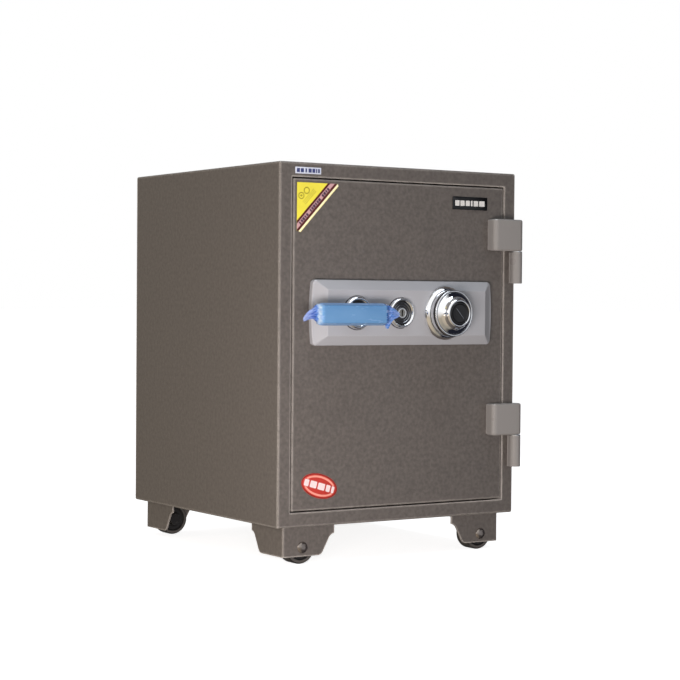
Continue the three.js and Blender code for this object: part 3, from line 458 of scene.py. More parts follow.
def turned_ring(section, centre, steps=96):
    """A ring with a closed section of (radius, along), about an axis along y."""
    bm = lathe([*section, section[0]], centre, "y", steps)
    bmesh.ops.remove_doubles(bm, verts=bm.verts, dist=1e-7)
    return bm


def washer(inner, outer, front, depth, round_mm):
    """The section of a flat ring."""
    back = front + depth
    return soften([(inner, front), (outer, front), (outer, back), (inner, back)], round_mm, 2, True)


def turned(node, section, round_mm, steps=96, **look):
    """A turned piece in place of a CAD node; along is measured from the node's own centre."""
    bm = turned_ring(soften(section, round_mm, 4, True), middle(node), steps)
    fine(node, bm, 40, **look)


def cad_copy(node):
    bm = bmesh.new()
    bm.from_mesh(frame["nodes"][node].data)
    bmesh.ops.remove_doubles(bm, verts=bm.verts, dist=1e-6)
    bmesh.ops.dissolve_limit(bm, angle_limit=math.radians(1), verts=bm.verts, edges=bm.edges)
    return bm


def round_edges(bm, width_mm, steps=3, pick=None):
    """Rounds the outward edges sharper than 40 degrees, or those of them that pick accepts."""
    edges = [
        e for e in bm.edges
        if e.is_manifold and e.calc_face_angle_signed(0) > math.radians(40) and (pick is None or pick(e))
    ]
    bmesh.ops.bevel(
        bm, geom=edges, offset=width_mm * MM, offset_type="OFFSET", segments=steps, profile=0.5,
        affect="EDGES", clamp_overlap=True)


def eased(node, width_mm=0.4, finish=None):
    """The CAD node's own shape with its edges eased, as a fine piece."""
    bm = cad_copy(node)
    round_edges(bm, width_mm, 2)
    fine(node, bm, finish=finish)


def at_sides(count, *values):
    """Tells whether both ends of an edge share at least count of the given axis planes."""
    def test(edge):
        a, b = edge.verts
        shared = sum(
            abs(a.co[axis] - value) < 2e-5 and abs(b.co[axis] - value) < 2e-5 for axis, value in values)
        return shared >= count
    return test


# ---- body and door shells

def body_shell():
    low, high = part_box("body_shell")
    bm = cad_copy("body_shell")
    sides = [(0, low.x), (0, high.x), (1, low.y), (2, low.z), (2, high.z)]
    round_edges(bm, 3.0, 5, at_sides(2, *sides))
    door_low, door_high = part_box("door_skin")
    gap = 2 * MM
    mouth = [(0, door_low.x - gap), (0, door_high.x + gap), (2, door_low.z - gap), (2, door_high.z + gap)]
    front = at_sides(1, (1, low.y))
    round_edges(bm, 1.6, 4, lambda e: front(e) and at_sides(1, *mouth)(e))
    round_edges(bm, 0.4, 2)
    piece("shell_fine", bm, "safe_body", "body_paint", ["body_shell"])


def door_skin():
    low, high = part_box("door_skin")
    bm = cad_copy("door_skin")
    sides = [(0, low.x), (0, high.x), (1, low.y), (2, low.z), (2, high.z)]
    round_edges(bm, 2.2, 5, at_sides(2, *sides))
    round_edges(bm, 0.4, 2)
    fine("door_skin", bm)


def foot_brackets():
    for place in CORNERS:
        node = f"foot_bracket_{place}"
        low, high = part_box(node)
        corner = [(0, low.x if "left" in place else high.x), (1, low.y if "front" in place else high.y)]
        bm = cad_copy(node)
        round_edges(bm, 2.6, 5, at_sides(2, *corner))
        round_edges(bm, 0.5, 2)
        fine(node, bm)


body_shell()
door_skin()
foot_brackets()

for plain_node, ease in {
    "back_panel": 0.5, "door_frame": 0.3, "inner_liner": 0.3, "shelf": 0.4, "drawer_tray": 0.4,
    "drawer_pull": 1.2, "drawer_lock": 0.3, "door_liner": 0.3, "door_cover": 0.6, "door_seal": 1.0,
    "lockwork_plate": 0.4, "lock_case": 1.0, "bolt_carriage": 0.6, "lock_bolt": 0.6, "pack_wheel_1": 0.3,
    "pack_wheel_2": 0.3, "pack_wheel_3": 0.3, "lever_spindle": 0.4, "dial_spindle": 0.3,
    "live_bolt_1": 1.0, "live_bolt_2": 1.0, "live_bolt_3": 1.0, "dead_bolt_1": 0.8, "dead_bolt_2": 0.8,
    "body_insulation": 1.5, "door_insulation": 1.5,
}.items():
    eased(plain_node, ease)
eased("key_plug", 0.3, NICKEL)


# ---- lock plate and what stands on it

def ring_of(half_x, half_z, corner, bow, steps=6, side_steps=10):
    """A rounded rectangle around the origin whose short ends bow outwards, as (x, z) in metres."""
    points = []
    for turn in range(4):
        sx, sz = (1, 1, -1, -1)[turn], (-1, 1, 1, -1)[turn]
        for k in range(steps + 1):
            a = math.radians(90 * (turn - 1) + 90 * k / steps)
            points.append([
                sx * (half_x - corner) + corner * math.cos(a), sz * (half_z - corner) + corner * math.sin(a)])
        if turn in (0, 2):
            for k in range(1, side_steps):
                points.append([sx * half_x, sx * (half_z - corner) * (2 * k / side_steps - 1)])
    for p in points:
        if abs(p[0]) > half_x - 1.01 * corner:
            p[0] += math.copysign(bow * max(0.0, 1 - (p[1] / half_z) ** 2), p[0])
    return points


def skinned(rows):
    """Joins rows of points, one above another, into a closed solid with flat ends."""
    bm = bmesh.new()
    rows = [[bm.verts.new(point) for point in row] for row in rows]
    for a, b in zip(rows, rows[1:]):
        for k in range(len(a)):
            n = (k + 1) % len(a)
            bm.faces.new((a[k], a[n], b[n], b[k]))
    bm.faces.new(rows[-1])
    bm.faces.new(list(reversed(rows[0])))
    bmesh.ops.recalc_face_normals(bm, faces=bm.faces)
    return bm


def lock_plate():
    """A straight rim, a narrow ledge, and four slopes that meet in mitres around the flat face."""
    low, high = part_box("lock_plate")
    half, at = (high - low) / 2, middle("lock_plate")
    bow = 3 * MM
    rows = []
    for x, z, rise, corner, b in (
            (0.0, 0.0, 0.0, 6.0, 1.0), (0.0, 0.0, 6.6, 6.0, 1.0), (0.4, 0.3, 7.6, 5.8, 1.0),
            (1.4, 0.7, 8.1, 5.4, 0.9), (3.2, 1.1, 8.5, 4.6, 0.6), (5.2, 1.8, 9.2, 3.8, 0.2),
            (20.8, 14.2, 19.3, 1.2, 0.0), (21.6, 14.8, 19.8, 1.0, 0.0), (22.8, 15.6, 20.0, 0.8, 0.0)):
        outline = ring_of(half.x - x * MM - bow * b, half.z - z * MM, corner * MM, bow * b)
        rows.append([(at.x + u, high.y - rise * MM, at.z + v) for u, v in outline])
    fine("lock_plate", skinned(rows), 60)


lock_plate()

turned("lever_rose", [
    (9, 4), (25.6, 4), (25.6, 2.4), (25.2, 0.2), (24.4, -2.2), (23.2, -3.7), (22.0, -4.0), (20.6, -3.5),
    (19.2, -2.0), (18.2, 0.2), (17.4, 1.5), (9, 1.5),
], 0.9)
turned("key_rose", [
    (17.5, 3.5), (23.5, 3.5), (23.4, 1.6), (23.0, -0.6), (22.1, -2.6), (20.9, -3.5), (19.4, -2.9),
    (18.2, -1.2), (17.5, 1.0),
], 0.7)


def dark_ring(name, node, inner, outer, front, depth=0.3, body="door"):
    """A black ring, its radii and its front (from the node's centre) in millimetres; most are painted shade in
    gaps, grooves and recesses.
    """
    bm = turned_ring(washer(inner, outer, front, depth, 0.06), middle(node))
    piece(name, bm, body, "black_plastic", (), 40, False, PRINTS["black_print_and_shade"])


# Painted shadow: black rings in the gaps behind the two roses, and painted shade in the lever rose's well.
dark_ring("lever_rose_shadow_ring", "lever_rose", 24.5, 26.4, 3.2, 0.7)
dark_ring("lever_rose_well_shade", "lever_rose", 10.2, 18.3, 0.6, 0.9)
dark_ring("key_rose_shadow_ring", "key_rose", 22.5, 24.2, 2.7, 0.7)


def key_cylinder():
    """The cylinder's face with turned grooves, and the plug's slot framed by a raised hood."""
    at = middle("key_cylinder")
    low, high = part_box("key_cylinder")
    face = (low.y - at.y) / MM
    back = (high.y - at.y) / MM
    turned("key_cylinder", [
        (8.1, back), (12, back), (12, face + 4.5), (17, face + 4.5), (17, face + 2.2), (16.4, face + 0.5),
        (15.4, face + 0.1), (14.6, face + 0.9), (14.0, face + 2.2), (12.9, face + 2.2), (12.5, face + 0.4),
        (11.4, face + 0.1), (10.8, face + 1.0), (10.4, face + 1.9), (9.4, face + 1.9), (9.0, face + 0.4),
        (8.1, face + 0.3),
    ], 0.35, finish=GUNMETAL, slot="chrome")
    rim = soften([(5.6, -0.4), (7.9, -0.4), (7.9, -0.9), (7.3, -1.3), (6.3, -1.3), (5.8, -1.0), (5.6, -0.6)],
                 0.2, 3, True)
    bm = turned_ring(rim, (at.x, low.y + 0.4 * MM, at.z), 64)
    piece("key_plug_rim", bm, "key_turner", "chrome", (), 40)
    # Painted shade: black rings in the turned grooves and around the well of the cylinder's face.
    dark_ring("cylinder_groove_shade_1", "key_cylinder", 12.5, 14.8, face + 0.9)
    dark_ring("cylinder_groove_shade_2", "key_cylinder", 8.6, 10.8, face + 0.8)
    dark_ring("cylinder_well_shade", "key_cylinder", 16.0, 17.4, face + 0.4)


key_cylinder()


def dial_flange():
    turned("dial_flange", [
        (6, 5), (42, 5), (42, 3.6), (41.3, 1.2), (40.2, -1.2), (38.8, -3.4), (37.2, -4.8), (35.4, -5.0),
        (33.8, -4.2), (32.6, -2.2), (32.0, 0.4), (6, 0.4),
    ], 1.2, 128)


def dial_knob():
    """The dial: a graduated rim, a painted shadow along its side, a black ring in its groove, and a flared cone
    around the cap.
    """
    turned("dial_knob", [
        (4.3, 14), (36.2, 14), (36.2, 1.6), (35.9, 0.6), (35.2, 0.3), (33.6, 0.3), (33.2, 1.4), (32.6, 1.4),
        (32.2, 0.6), (27.4, -1.9), (26.0, -3.2), (24.6, -5.4), (23.3, -8.6), (22.4, -11.6), (21.5, -13.3),
        (20.3, -14.0), (18.9, -13.9), (18.1, -13.2), (17.8, -11.6), (4.3, -11.6),
    ], 0.6, 128)
    dark_ring("dial_groove", "dial_knob", 32.5, 33.3, 1.05, 0.3, "dial")
    # Painted shadow: a black band on the rim's side, where the dial stands over its flange.
    dark_ring("dial_side_shadow", "dial_knob", 36.0, 36.4, 2.2, 4.6, "dial")


def dial_cap():
    """The black cap: a dish with a rounded lip, a raised bar across it and a line along the bar."""
    at = middle("dial_cap")
    turn = Matrix.Rotation(math.radians(48), 3, "Y")

    def bar(bm, length, depth, front, back, lift):
        """A bar across the cap, with the widths of its front and back, in millimetres."""
        for v in bmesh.ops.create_cube(bm, size=1)["verts"]:
            share = Vector((v.co.x * length, v.co.y * depth, v.co.z * (front if v.co.y < 0 else back)))
            v.co = Vector(at) + turn @ (share * MM) + Vector((0, -lift * MM, 0))

    bm = lathe(soften([
        (0, -0.4), (8, -0.55), (13.6, -0.9), (15.4, -1.5), (16.9, -1.45), (17.5, -0.7), (17.5, 1.5), (0, 1.5),
    ], 0.5), at)
    bar(bm, 22, 0.9, 1.5, 2.4, 0.75)
    fine("dial_cap", bm)
    line = bmesh.new()
    bar(line, 21, 0.1, 0.9, 0.9, 1.22)
    piece("dial_cap_line", line, "dial", "steel", (), 35, False, GUNMETAL)


dial_flange()
dial_knob()
dial_cap()


def raised(bm, thick_mm):
    """Gives flat faces a thickness towards the front, and returns the mesh."""
    made = bmesh.ops.extrude_face_region(bm, geom=bm.faces[:])["geom"]
    for v in made:
        if isinstance(v, bmesh.types.BMVert):
            v.co.y -= thick_mm * MM
    bmesh.ops.recalc_face_normals(bm, faces=bm.faces)
    return bm


def print_on(name, bm, body, slot, ink, thick_mm=0.03):
    """A thin printed mark, from flat faces at its back."""
    piece(name, raised(bm, thick_mm), body, slot, (), 35, False, PRINTS[ink])


def dial_marks():
    """A hundred graduations on the dial's rim, and the mark they are read at."""
    at = middle("dial_knob")
    face = Vector((at.x, at.y + 0.32 * MM, at.z))
    bm = bmesh.new()
    for tick in range(100):
        a = math.radians(90 - 3.6 * tick)
        inner = 34.6 if tick % 5 else 34.0
        half = 0.14 if tick % 5 else 0.24
        out = Vector((math.cos(a), 0, math.sin(a)))
        across = Vector((-out.z, 0, out.x))
        bm.faces.new([
            bm.verts.new(face + (out * r + across * side) * MM)
            for r, side in ((inner, -half), (35.3, -half), (35.3, half), (inner, half))])
    print_on("dial_graduations", bm, "dial", "black_plastic", "black_print_and_shade")
    index = bmesh.new()
    top = middle("dial_flange").y - 5.03 * MM
    index.faces.new([
        index.verts.new((at.x + x * MM, top, at.z + z * MM))
        for x, z in ((-0.5, 34.9), (0.5, 34.9), (0.5, 36.8), (-0.5, 36.8))])
    print_on("dial_index", index, "door", "black_plastic", "black_print_and_shade", 0.05)


dial_marks()


# ---- hinges, bolts and rollers

def inset(points, by):
    """A convex outline drawn in by a distance."""
    out = []
    for i, p in enumerate(points):
        before, after = (p - points[i - 1]).normalized(), (points[(i + 1) % len(points)] - p).normalized()
        n0, n1 = Vector((-before.y, before.x)), Vector((-after.y, after.x))
        middle_way = n0 + n1
        out.append(p + middle_way * (by / max(0.3, middle_way.dot(n0))))
    return out


def prism(outline, low, high, radius, steps=5):
    """A convex outline of (x, y) carried up from low to high, with rounded top and bottom edges."""
    levels = []
    for k in range(steps + 1):
        a = math.pi / 2 * k / steps
        levels.append((radius * (1 - math.sin(a)), radius * (1 - math.cos(a))))
    loops = [(d, low + h) for d, h in levels] + [(d, high - h) for d, h in reversed(levels)]
    return skinned([[(p.x, p.y, z) for p in inset(outline, d)] for d, z in loops])


def hinges():
    for place in ("upper", "lower"):
        pin_low, pin_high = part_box(f"hinge_pin_{place}")
        axis = Vector(((pin_low.x + pin_high.x) / 2, (pin_low.y + pin_high.y) / 2, 0))
        knuckle = (pin_high.x - pin_low.x) / 2

        node = f"hinge_leaf_{place}"
        low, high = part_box(node)
        start = Vector((axis.x - 8 * MM, low.y))
        outline = soften([start, (low.x, low.y), (low.x, high.y)], 9 * MM, 10)[:-1]
        outline += [Vector((low.x, high.y)), Vector((low.x + 29 * MM, high.y))]
        for k in range(17):
            a = math.radians(90 - 180 * k / 16)
            outline.append(Vector((axis.x + knuckle * math.cos(a), axis.y + knuckle * math.sin(a))))
        outline.reverse()
        bm = prism(outline, low.z, high.z, 3.2 * MM)
        fine(node, bm, 50)

        node = f"hinge_barrel_{place}"
        low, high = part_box(node)
        bottom, top = low.z / MM, high.z / MM
        bm = lathe(soften([
            (0, bottom), (9.5, bottom), (9.5, top), (5.6, top), (5.6, bottom + 4.2), (0, bottom + 4.2),
        ], 1.1), axis, "z", 64)
        web = bmesh.ops.create_cube(bm, size=1)["verts"]
        for v in web:
            v.co = Vector((axis.x + (-2 + 10 * v.co.x) * MM, axis.y + (5 + 10 * v.co.y) * MM,
                           (low.z + high.z) / 2 + v.co.z * (high.z - low.z - 0.4 * MM)))
        fine(node, bm, 45)

        node = f"hinge_pin_{place}"
        foot, tip = pin_low.z / MM, pin_high.z / MM
        bm = lathe(soften([
            (0, foot), (5, foot), (5, top), (9.5, top), (9.5, top + 1.2), (5, top + 1.2), (5, tip), (0, tip),
        ], 0.35), axis, "z", 64)
        fine(node, bm, 45, slot="chrome")


hinges()


def rollers_and_bolts():
    for place in CORNERS:
        node = f"roller_{place}"
        low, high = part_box(node)
        half = (high.y - low.y) / 2 / MM
        near = [(6.5, 1 - half), (9.5, -half), (11.5, -half), (12.5, 2 - half), (18.5, 2 - half),
                (19.6, 0.2 - half), (20.6, -half), (24.2, -half), (25.4, 0.9 - half), (26, 2.5 - half)]
        turned(node, near + [(r, -t) for r, t in reversed(near)], 0.8)
        for side, front in (("near", -half - 0.04), ("far", half - 0.26)):
            bm = turned_ring(washer(20.6, 24.2, front, 0.3, 0.08), middle(node))
            piece(f"{node}_{side}_rim", bm, BODY_OF[node], "roller_iron", (), 40, False, WORN_IRON)

        node = f"axle_bolt_{place}"
        low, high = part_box(node)
        at = middle(node)
        length = (high.y - low.y) / MM
        outward = -1 if place.startswith("front") else 1
        start = (at.x, at.y + outward * (length / 2 - 4) * MM, at.z)
        for name, outline, slot, finish in (
                ("fine", [(0, -4.0), (3.2, -3.85), (6.0, -3.2), (8.2, -1.9), (9.0, -0.4), (9.0, 0), (6, 0),
                          (6, length - 10), (0, length - 10)], "body_paint", BOLT_PAINT),
                ("nut", [(0, length - 10), (9.4, length - 10), (9.4, length - 4), (0, length - 4)],
                 "roller_iron", None)):
            bm = lathe([(r, -outward * t) for r, t in soften(outline, 0.5)], start, "y", 64)
            piece(f"{node}_{name}", bm, "safe_body", slot, [node], 40, True, finish)


rollers_and_bolts()


# ---- lever and its film

def lever_grip():
    bm = cad_copy("lever_grip")
    round_edges(bm, 1.2, 3)
    fine("lever_grip", bm, 45)


def lever_film():
    """Film wrapped round the grip: taut along the bar, and gathered into a fan at each end."""
    grip_low, grip_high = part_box("lever_grip")
    film_low, film_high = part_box("lever_film")
    mid_z = (grip_low.z + grip_high.z) / 2
    front, fold, back = (film_low.y - grip_low.y) / MM, 7.5, 17.2
    section = soften([
        (back - 0.2, 5), (back, -14.7), (fold, -17), (front, -12.7), (front, 12.7), (fold, 17), (back, 14.7),
        (back + 0.3, -1),
    ], 0.9, 4)
    lengths = [0.0]
    for p, q in zip(section, section[1:]):
        lengths.append(lengths[-1] + (q - p).length)
    around = 132

    def wrap(share):
        """The point at a share of the way round the section, as (y, z) in millimetres from the grip."""
        want = share * lengths[-1]
        i = max(k for k in range(len(section) - 1) if lengths[k] <= want + 1e-9)
        return section[i].lerp(section[i + 1], (want - lengths[i]) / max(1e-9, lengths[i + 1] - lengths[i]))

    ring = [wrap(k / around) for k in range(around + 1)]

    def ripple(x, share, scale, seed):
        a = 2 * math.pi * share
        return noise.noise(Vector((x * scale, 3.0 * math.cos(a) + seed, 3.0 * math.sin(a))))

    def taut_row(x, pinch):
        row = []
        for k, p in enumerate(ring):
            share = k / around
            lift = 0.10 * ripple(x, share, 0.03, 0) + 0.07 * ripple(x, share, 0.12, 5) * (1 + 6 * pinch)
            long_fold = 0.05 * math.sin(2 * math.pi * share * 9 + 0.02 * x)
            centre = Vector((8.0, 0.0))
            out = (p - centre).normalized()
            q = p + out * (lift + long_fold - 1.0 * pinch)
            row.append((x, q.x, q.y))
        return row

    def fan_row(x, middle_z, half_z, depth, middle_y, ragged, phase, pleats):
        """A row of a gathered end: the section flattened to half_z and depth, with pleats."""
        row = []
        for k, p in enumerate(ring):
            share = k / around
            a = 2 * math.pi * share
            up = p.y / 17.0
            fore = (p.x - 8.0) / 10.0
            pleat = math.sin(pleats * a + phase) + 0.5 * math.sin((pleats * 2 + 1) * a - 2 * phase)
            y = middle_y + fore * depth + 1.3 * pleat * min(1.0, depth / 2.5)
            z = middle_z + up * half_z * (1 + 0.05 * pleat) + 0.35 * pleat
            tear = ragged * (math.sin(3 * a + 1.3) + 0.6 * math.sin(8 * a + 0.4) + 0.35 * math.sin(17 * a))
            row.append((x + tear, y, z))
        return row

    left_end, right_end = grip_low.x / MM - 8.0, grip_high.x / MM + 2.0
    left = [
        (-1.0, 0.0, 15.6, 6.5, 8.0), (-2.2, 0.6, 14.6, 4.2, 8.6), (-3.6, 1.2, 12.8, 2.8, 9.4),
        (-5.5, 1.6, 11.8, 2.4, 9.6), (-8.0, 0.9, 9.0, 2.4, 9.8), (-11.0, -0.2, 7.2, 2.0, 10.0),
        (-14.0, -0.8, 6.4, 1.8, 10.0), (-17.0, -2.0, 5.8, 1.5, 10.0), (-20.0, -3.8, 5.0, 1.2, 10.0),
        (-23.5, -6.4, 3.8, 0.8, 10.0), (-26.5, -8.8, 1.6, 0.5, 10.0),
    ]
    right = [
        (1.2, 0.0, 15.8, 6.5, 8.0), (2.6, -0.6, 15.8, 4.0, 8.6), (4.3, -3.0, 17.4, 2.8, 9.2),
        (6.2, -4.2, 18.2, 2.4, 9.4), (8.5, -2.8, 16.0, 2.6, 9.4), (11.0, -0.8, 13.0, 2.6, 9.6),
        (14.0, 0.6, 10.4, 2.4, 9.6), (17.0, 1.0, 8.6, 2.0, 9.8), (20.5, 0.6, 6.8, 1.6, 10.0),
        (24.0, -0.4, 4.2, 1.1, 10.0), (27.5, -1.0, 2.0, 0.7, 10.0),
    ]

    def fan(stations, end):
        """Rows through the stations, two between each pair, more ragged and more pleated towards the tip."""
        rows = []
        for i, (here, after) in enumerate(zip(stations, stations[1:] + stations[-1:])):
            for part in range(2 if i < len(stations) - 1 else 1):
                t = part / 2
                dx, dz, half_z, depth, y = (u + (v - u) * t for u, v in zip(here, after))
                way = (i + t) / (len(stations) - 1)
                rows.append(fan_row(
                    end + dx, dz, half_z, depth, y, 1.3 * way * math.copysign(1, dx), 2.2 * way, 9))
        return rows

    rows = list(reversed(fan(left, left_end)))
    steps = 56
    for step in range(steps + 1):
        t = step / steps
        x = left_end + (right_end - left_end) * t
        pinch = math.exp(-((min(t, 1 - t) * (right_end - left_end) / 2.2) ** 2))
        rows.append(taut_row(x, pinch))
    rows += fan(right, right_end)

    bm = bmesh.new()
    made = []
    for row in rows:
        line = []
        for x, y, z in row:
            line.append(bm.verts.new((
                max(film_low.x, min(film_high.x, x * MM)),
                max(film_low.y, min(film_high.y, grip_low.y + y * MM)),
                max(film_low.z, min(film_high.z, mid_z + z * MM)))))
        made.append(line)
    for a, b in zip(made, made[1:]):
        for k in range(around):
            bm.faces.new((a[k], a[k + 1], b[k + 1], b[k]))
    bmesh.ops.recalc_face_normals(bm, faces=bm.faces)
    film_piece = fine("lever_film", bm, 80, False)


lever_grip()
lever_film()


# ---- labels

PRINT_DEPTH = 0.02 * MM  # how far a print's back lies behind its label's face


def rectangle(left, bottom, right, top):
    """An outline of (x, z), counter-clockwise as seen from the front."""
    return [(left, bottom), (right, bottom), (right, top), (left, top)]


def flat_face(points, y):
    """One face with an outline of (x, z) in metres."""
    bm = bmesh.new()
    bm.faces.new([bm.verts.new((x, y, z)) for x, z in points])
    return bm


def label_of(node, points, thick_mm, round_mm=0.0):
    """A thin flat label in place of its CAD node, from the node's back forwards."""
    bm = raised(flat_face(points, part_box(node)[1].y), thick_mm)
    if round_mm:
        round_edges(bm, round_mm, 2)
    fine(node, bm, even=False)


def label(node, corner_mm, steps, thick_mm, round_mm):
    """A rectangular label in place of its CAD node."""
    low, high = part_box(node)
    outline = soften(rectangle(low.x, low.z, high.x, high.z), corner_mm * MM, steps, True)
    label_of(node, outline, thick_mm, round_mm)


def blocks(node, name, ink, margin, corner_mm, thick_mm, *spans):
    """Plain blocks in place of a label's lettering; margin and spans are shares of its height and width."""
    low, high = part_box(node)
    width, height = high.x - low.x, high.z - low.z
    for k, (start, end) in enumerate(spans):
        points = rectangle(low.x + width * start, low.z + height * margin,
                           low.x + width * end, low.z + height * (1 - margin))
        if corner_mm:
            points = soften(points, corner_mm * MM, 3, True)
        face = flat_face(points, low.y + PRINT_DEPTH)
        print_on(f"{node}_{name}_{k + 1}", face, BODY_OF[node], SLOT_OF[node], ink, thick_mm)


def clipped(points, outline):
    """The part of a convex shape that lies inside a convex, counter-clockwise outline."""
    for i, a in enumerate(outline):
        b = outline[(i + 1) % len(outline)]
        kept = []
        for j, q in enumerate(points):
            p = points[j - 1]
            p_in, q_in = (
                (b[0] - a[0]) * (r[1] - a[1]) - (b[1] - a[1]) * (r[0] - a[0]) for r in (p, q))
            if (p_in < 0) != (q_in < 0):
                t = p_in / (p_in - q_in)
                kept.append((p[0] + (q[0] - p[0]) * t, p[1] + (q[1] - p[1]) * t))
            if q_in >= 0:
                kept.append(q)
        points = kept
    return points


def corner_sticker():
    """A yellow corner sticker: rings, a pink band between dark lines with dashes, and a cream edge."""
    low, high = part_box("corner_sticker")
    face = low.y + PRINT_DEPTH
    outline = [(low.x, high.z), (low.x, low.z + 2.5 * MM), (low.x + 6.5 * MM, low.z),
               (high.x, high.z - 3.5 * MM), (high.x - 1.5 * MM, high.z)]
    label_of("corner_sticker", outline, 0.38)
    reach_x, reach_z = 77.3 * MM, 81.9 * MM

    def printed(name, points, y, ink):
        print_on(name, flat_face(points, y), "door", "yellow_label", ink)

    # each stripe lies between two shares of the way out from the corner
    for name, start, end, ink in (
            ("sticker_line_1", 0.705, 0.765, "print_maroon"), ("sticker_band", 0.765, 0.87, "print_pink"),
            ("sticker_line_2", 0.87, 0.935, "print_maroon"), ("sticker_edge", 0.935, 0.995, "print_cream")):
        stripe = [(low.x + reach_x * start, high.z), (low.x, high.z - reach_z * start),
                  (low.x, high.z - reach_z * end), (low.x + reach_x * end, high.z)]
        printed(name, clipped(stripe, outline), face, ink)
    top, side = Vector((low.x + reach_x * 0.823, high.z)), Vector((low.x, high.z - reach_z * 0.823))
    way = (side - top).normalized()
    out = Vector((-way.y, way.x))
    for k in range(17):
        if k in (4, 11):
            continue
        at = top.lerp(side, 0.13 + 0.78 * k / 16)
        along, across = way * (1.7, 1.3, 2.0)[k % 3] * MM, out * 2.3 * MM
        corners = [at + along * sx + across * sz for sx, sz in rectangle(-1, -1, 1, 1)]
        printed(f"sticker_dash_{k + 1}", corners, face - 0.02 * MM, "print_plum")
    for k, (x, z, outer, inner) in enumerate(((17, -12, 5.2, 4.0), (7.5, -20, 5.2, 4.0), (7.5, -20, 1.6, 0.3))):
        bm = bmesh.new()
        rows = []
        for r in (outer, inner):
            turns = [2 * math.pi * n / 40 for n in range(40)]
            rows.append([
                bm.verts.new((low.x + (x + r * math.cos(a)) * MM, face, high.z + (z + r * math.sin(a)) * MM))
                for a in turns])
        for n in range(40):
            m = (n + 1) % 40
            bm.faces.new((rows[0][n], rows[0][m], rows[1][m], rows[1][n]))
        print_on(f"sticker_ring_{k + 1}", bm, "door", "yellow_label", "print_ochre")
    for k in range(3):
        a, b = (top.lerp(side, share) - out * (13.5 + 2.6 * k) * MM for share in (0.32, 0.62))
        printed(f"sticker_rule_{k + 1}", [a, b, b + out * 0.5 * MM, a + out * 0.5 * MM], face, "print_ochre")


def oval_sticker():
    """A red oval with pale arcs above and below, and a row of pale blocks across it."""
    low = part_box("oval_sticker")[0]
    centre = middle("oval_sticker")
    tilt = math.radians(-16)

    def placed(x, z):
        return (centre.x + (x * math.cos(tilt) - z * math.sin(tilt)) * MM,
                centre.z + (x * math.sin(tilt) + z * math.cos(tilt)) * MM)

    def ellipse(a, b, start=0, end=360, count=96):
        return [
            placed(a * math.cos(t), b * math.sin(t))
            for t in (math.radians(start + (end - start) * k / count) for k in range(count + 1))]

    def arc(name, a, b, width, start, end, ink):
        bm = bmesh.new()
        outer, inner = (
            [bm.verts.new((x, low.y + 0.005 * MM, z)) for x, z in ellipse(a - by, b - by, start, end, 48)]
            for by in (0, width))
        for k in range(48):
            bm.faces.new((outer[k], outer[k + 1], inner[k + 1], inner[k]))
        print_on(name, bm, "door", "red_label", ink)

    label_of("oval_sticker", ellipse(33, 18.5)[:-1], 0.38, 0.1)
    arc("oval_rim", 32.4, 17.9, 0.9, 0, 360, "print_maroon")
    arc("oval_arc_1", 28.6, 15.2, 3.0, 25, 155, "print_blush")
    arc("oval_arc_2", 28.6, 15.2, 3.0, 205, 335, "print_blush")
    for k, (left, right) in enumerate(((-28, -19.5), (-17, -5), (-2.5, 10), (12.5, 20), (22.5, 27.5))):
        block = soften([placed(x, z) for x, z in rectangle(left, -5.2, right, 5.2)], 1.6 * MM, 3, True)
        face = flat_face(block, low.y + PRINT_DEPTH)
        print_on(f"oval_block_{k + 1}", face, "door", "red_label", "print_rose", 0.04)


label("model_label", 0.8, 3, 0.38, 0.08)
blocks("model_label", "block", "print_navy", 0.2, 0, 0.03,
       (0.06, 0.18), (0.21, 0.33), (0.39, 0.45), (0.51, 0.63), (0.66, 0.77), (0.80, 0.85), (0.88, 0.95))
label("nameplate", 1.0, 4, 1.18, 0.35)
blocks("nameplate", "bar", "print_white", 0.29, 0.8, 0.04,
       (0.07, 0.19), (0.22, 0.34), (0.37, 0.49), (0.52, 0.57), (0.60, 0.73), (0.76, 0.92))
corner_sticker()
oval_sticker()


# ---- screws of the inner cover

def cover_screws():
    low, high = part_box("door_cover")
    head = soften([(0, 0), (4.2, 0), (4.2, 0.5), (3.2, 1.5), (1.6, 1.9), (1.2, 1.9), (1.2, 1.1), (0, 1.1)], 0.3)
    for row, z in enumerate((low.z + 10 * MM, (low.z + high.z) / 2, high.z - 10 * MM)):
        for side, x in (("left", low.x + 10 * MM), ("right", high.x - 10 * MM)):
            bm = lathe(head, (x, high.y, z), "y", 32)
            piece(f"cover_screw_{side}_{row + 1}", bm, "door", "steel", (), 40)


cover_screws()


# ---- studio

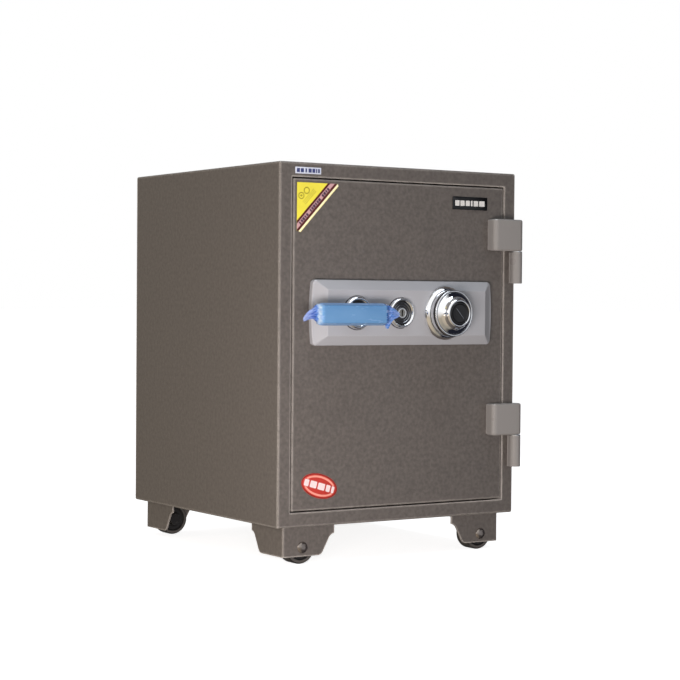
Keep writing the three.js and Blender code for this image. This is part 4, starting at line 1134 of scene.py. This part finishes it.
def room():
    """White behind the safe, an even soft light, and a bright left and top for what shines."""
    scene.world = bpy.data.worlds.new("studio")
    scene.world.use_nodes = True
    n = Nodes(scene.world.node_tree)
    n.tree.nodes.clear()
    split = n.node("ShaderNodeSeparateXYZ")
    n.join(n.node("ShaderNodeTexCoord").outputs["Generated"], split, "Vector")
    x, y, z = (split.outputs[axis] for axis in "XYZ")

    def over(value, *stops):
        """A colour ramp over one axis of the direction, from -1 to 1: each stop is (place, colour)."""
        scale = n.node("ShaderNodeMath", operation="MULTIPLY_ADD")
        n.join(value, scale, 0)
        n.set(scale, 1, 0.5)
        n.set(scale, 2, 0.5)
        return n.ramp(scale.outputs[0], *(((place + 1) / 2, colour) for place, colour in stops))

    def background(strength, colour=None):
        """Light from all around, white unless a colour is given."""
        made = n.node("ShaderNodeBackground")
        n.set(made, "Strength", strength)
        n.set(made, "Color", (1, 1, 1, 1))
        if colour:
            n.join(colour, made, "Color")
        return made.outputs[0]

    def either(kind, first, second):
        """The second shader for one kind of ray, the first for all others."""
        made = n.node("ShaderNodeMixShader")
        n.join(n.node("ShaderNodeLightPath").outputs[kind], made, "Fac")
        n.join(first, made, 1)
        n.join(second, made, 2)
        return made.outputs[0]

    height = over(z, (-0.25, 0), (0.12, 1))

    # what shiny surfaces mirror
    left_sky = over(y, (0.2, 1), (0.6, (0.46, 0.42, 0.37)))
    left_ground = over(
        x, (-0.8, (0.50, 0.42, 0.32)), (-0.3, (0.40, 0.34, 0.26)), (-0.1, (0.30, 0.27, 0.22)))
    window = over(z, (-0.4, 0), (-0.2, 1), (0.22, 1), (0.42, 0))
    right_light = over(
        x, (0.3, (0.55, 0.57, 0.62)), (0.65, (0.46, 0.47, 0.50)), (0.85, (0.02, 0.02, 0.03)))
    left = n.mix(height, left_ground, left_sky)
    right = n.mix(window, (0.012, 0.013, 0.02), right_light)
    shiny = background(1.15, n.mix(over(x, (0.08, 0), (0.3, 1)), left, right))

    # the soft light on everything, dimmer around the horizon
    soft_sky = over(
        x, (-0.9, (0.27, 0.235, 0.19)), (0.0, (0.40, 0.41, 0.42)), (0.9, (0.15, 0.15, 0.16)))
    soft_ground = over(
        x, (-0.9, (0.28, 0.235, 0.17)), (0.0, (1.0, 0.94, 0.90)), (0.9, (0.38, 0.36, 0.35)))
    dome = over(z, (-1.0, 0.95), (-0.5, 0.66), (0.0, 0.38), (0.5, 0.62), (1.0, 0.9))
    soft_colour = n.mix(height, soft_ground, soft_sky)
    soft = background(0.95, n.mix(1.0, soft_colour, dome, "MULTIPLY"))

    output = n.node("ShaderNodeOutputWorld")
    lit = either("Is Glossy Ray", soft, shiny)
    n.join(either("Is Camera Ray", lit, background(1.0)), output, "Surface")


def studio():
    bm = bmesh.new()
    bmesh.ops.create_grid(bm, x_segments=1, y_segments=1, size=60)
    mesh = bpy.data.meshes.new("floor")
    bm.to_mesh(mesh)
    bm.free()
    floor = bpy.data.objects.new("floor", mesh)
    scene.collection.objects.link(floor)
    paper = Shader("floor_white", (0.8, 0.8, 0.8), 0.9)
    paper.set(paper.bsdf, "Emission Color", (1, 1, 1, 1))
    paper.set(paper.bsdf, "Emission Strength", 0.85)
    mesh.materials.append(paper.material)
    floor.visible_glossy = False
    floor.visible_diffuse = False
    room()

    def soft_box(name, place, target, size, power, colour, mirrored=True):
        """A rectangular lamp; size is its width and height in metres."""
        data = bpy.data.lights.new(name, "AREA")
        data.shape = "RECTANGLE"
        data.size, data.size_y = size
        data.energy = power
        data.color = colour
        lamp = bpy.data.objects.new(name, data)
        lamp.location = place
        lamp.rotation_mode = "QUATERNION"
        lamp.rotation_quaternion = (Vector(target) - Vector(place)).to_track_quat("-Z", "Y")
        lamp.visible_glossy = mirrored
        scene.collection.objects.link(lamp)

    soft_box("strip_light", (-3.0, 0.0, 0.5), (0, 0, 0.3), (0.22, 2.0), 12.6, (1.0, 0.89, 0.75))
    soft_box("top_light", (0.1, -0.45, 2.8), (0, 0, 0.3), (1.6, 1.6), 34, (0.86, 0.93, 1.0))
    soft_box(
        "front_light", (-0.78, -1.05, 0.16), (-0.15, -0.23, 0.12), (0.5, 0.25), 11.3, (1.0, 0.93, 0.91), False)


studio()
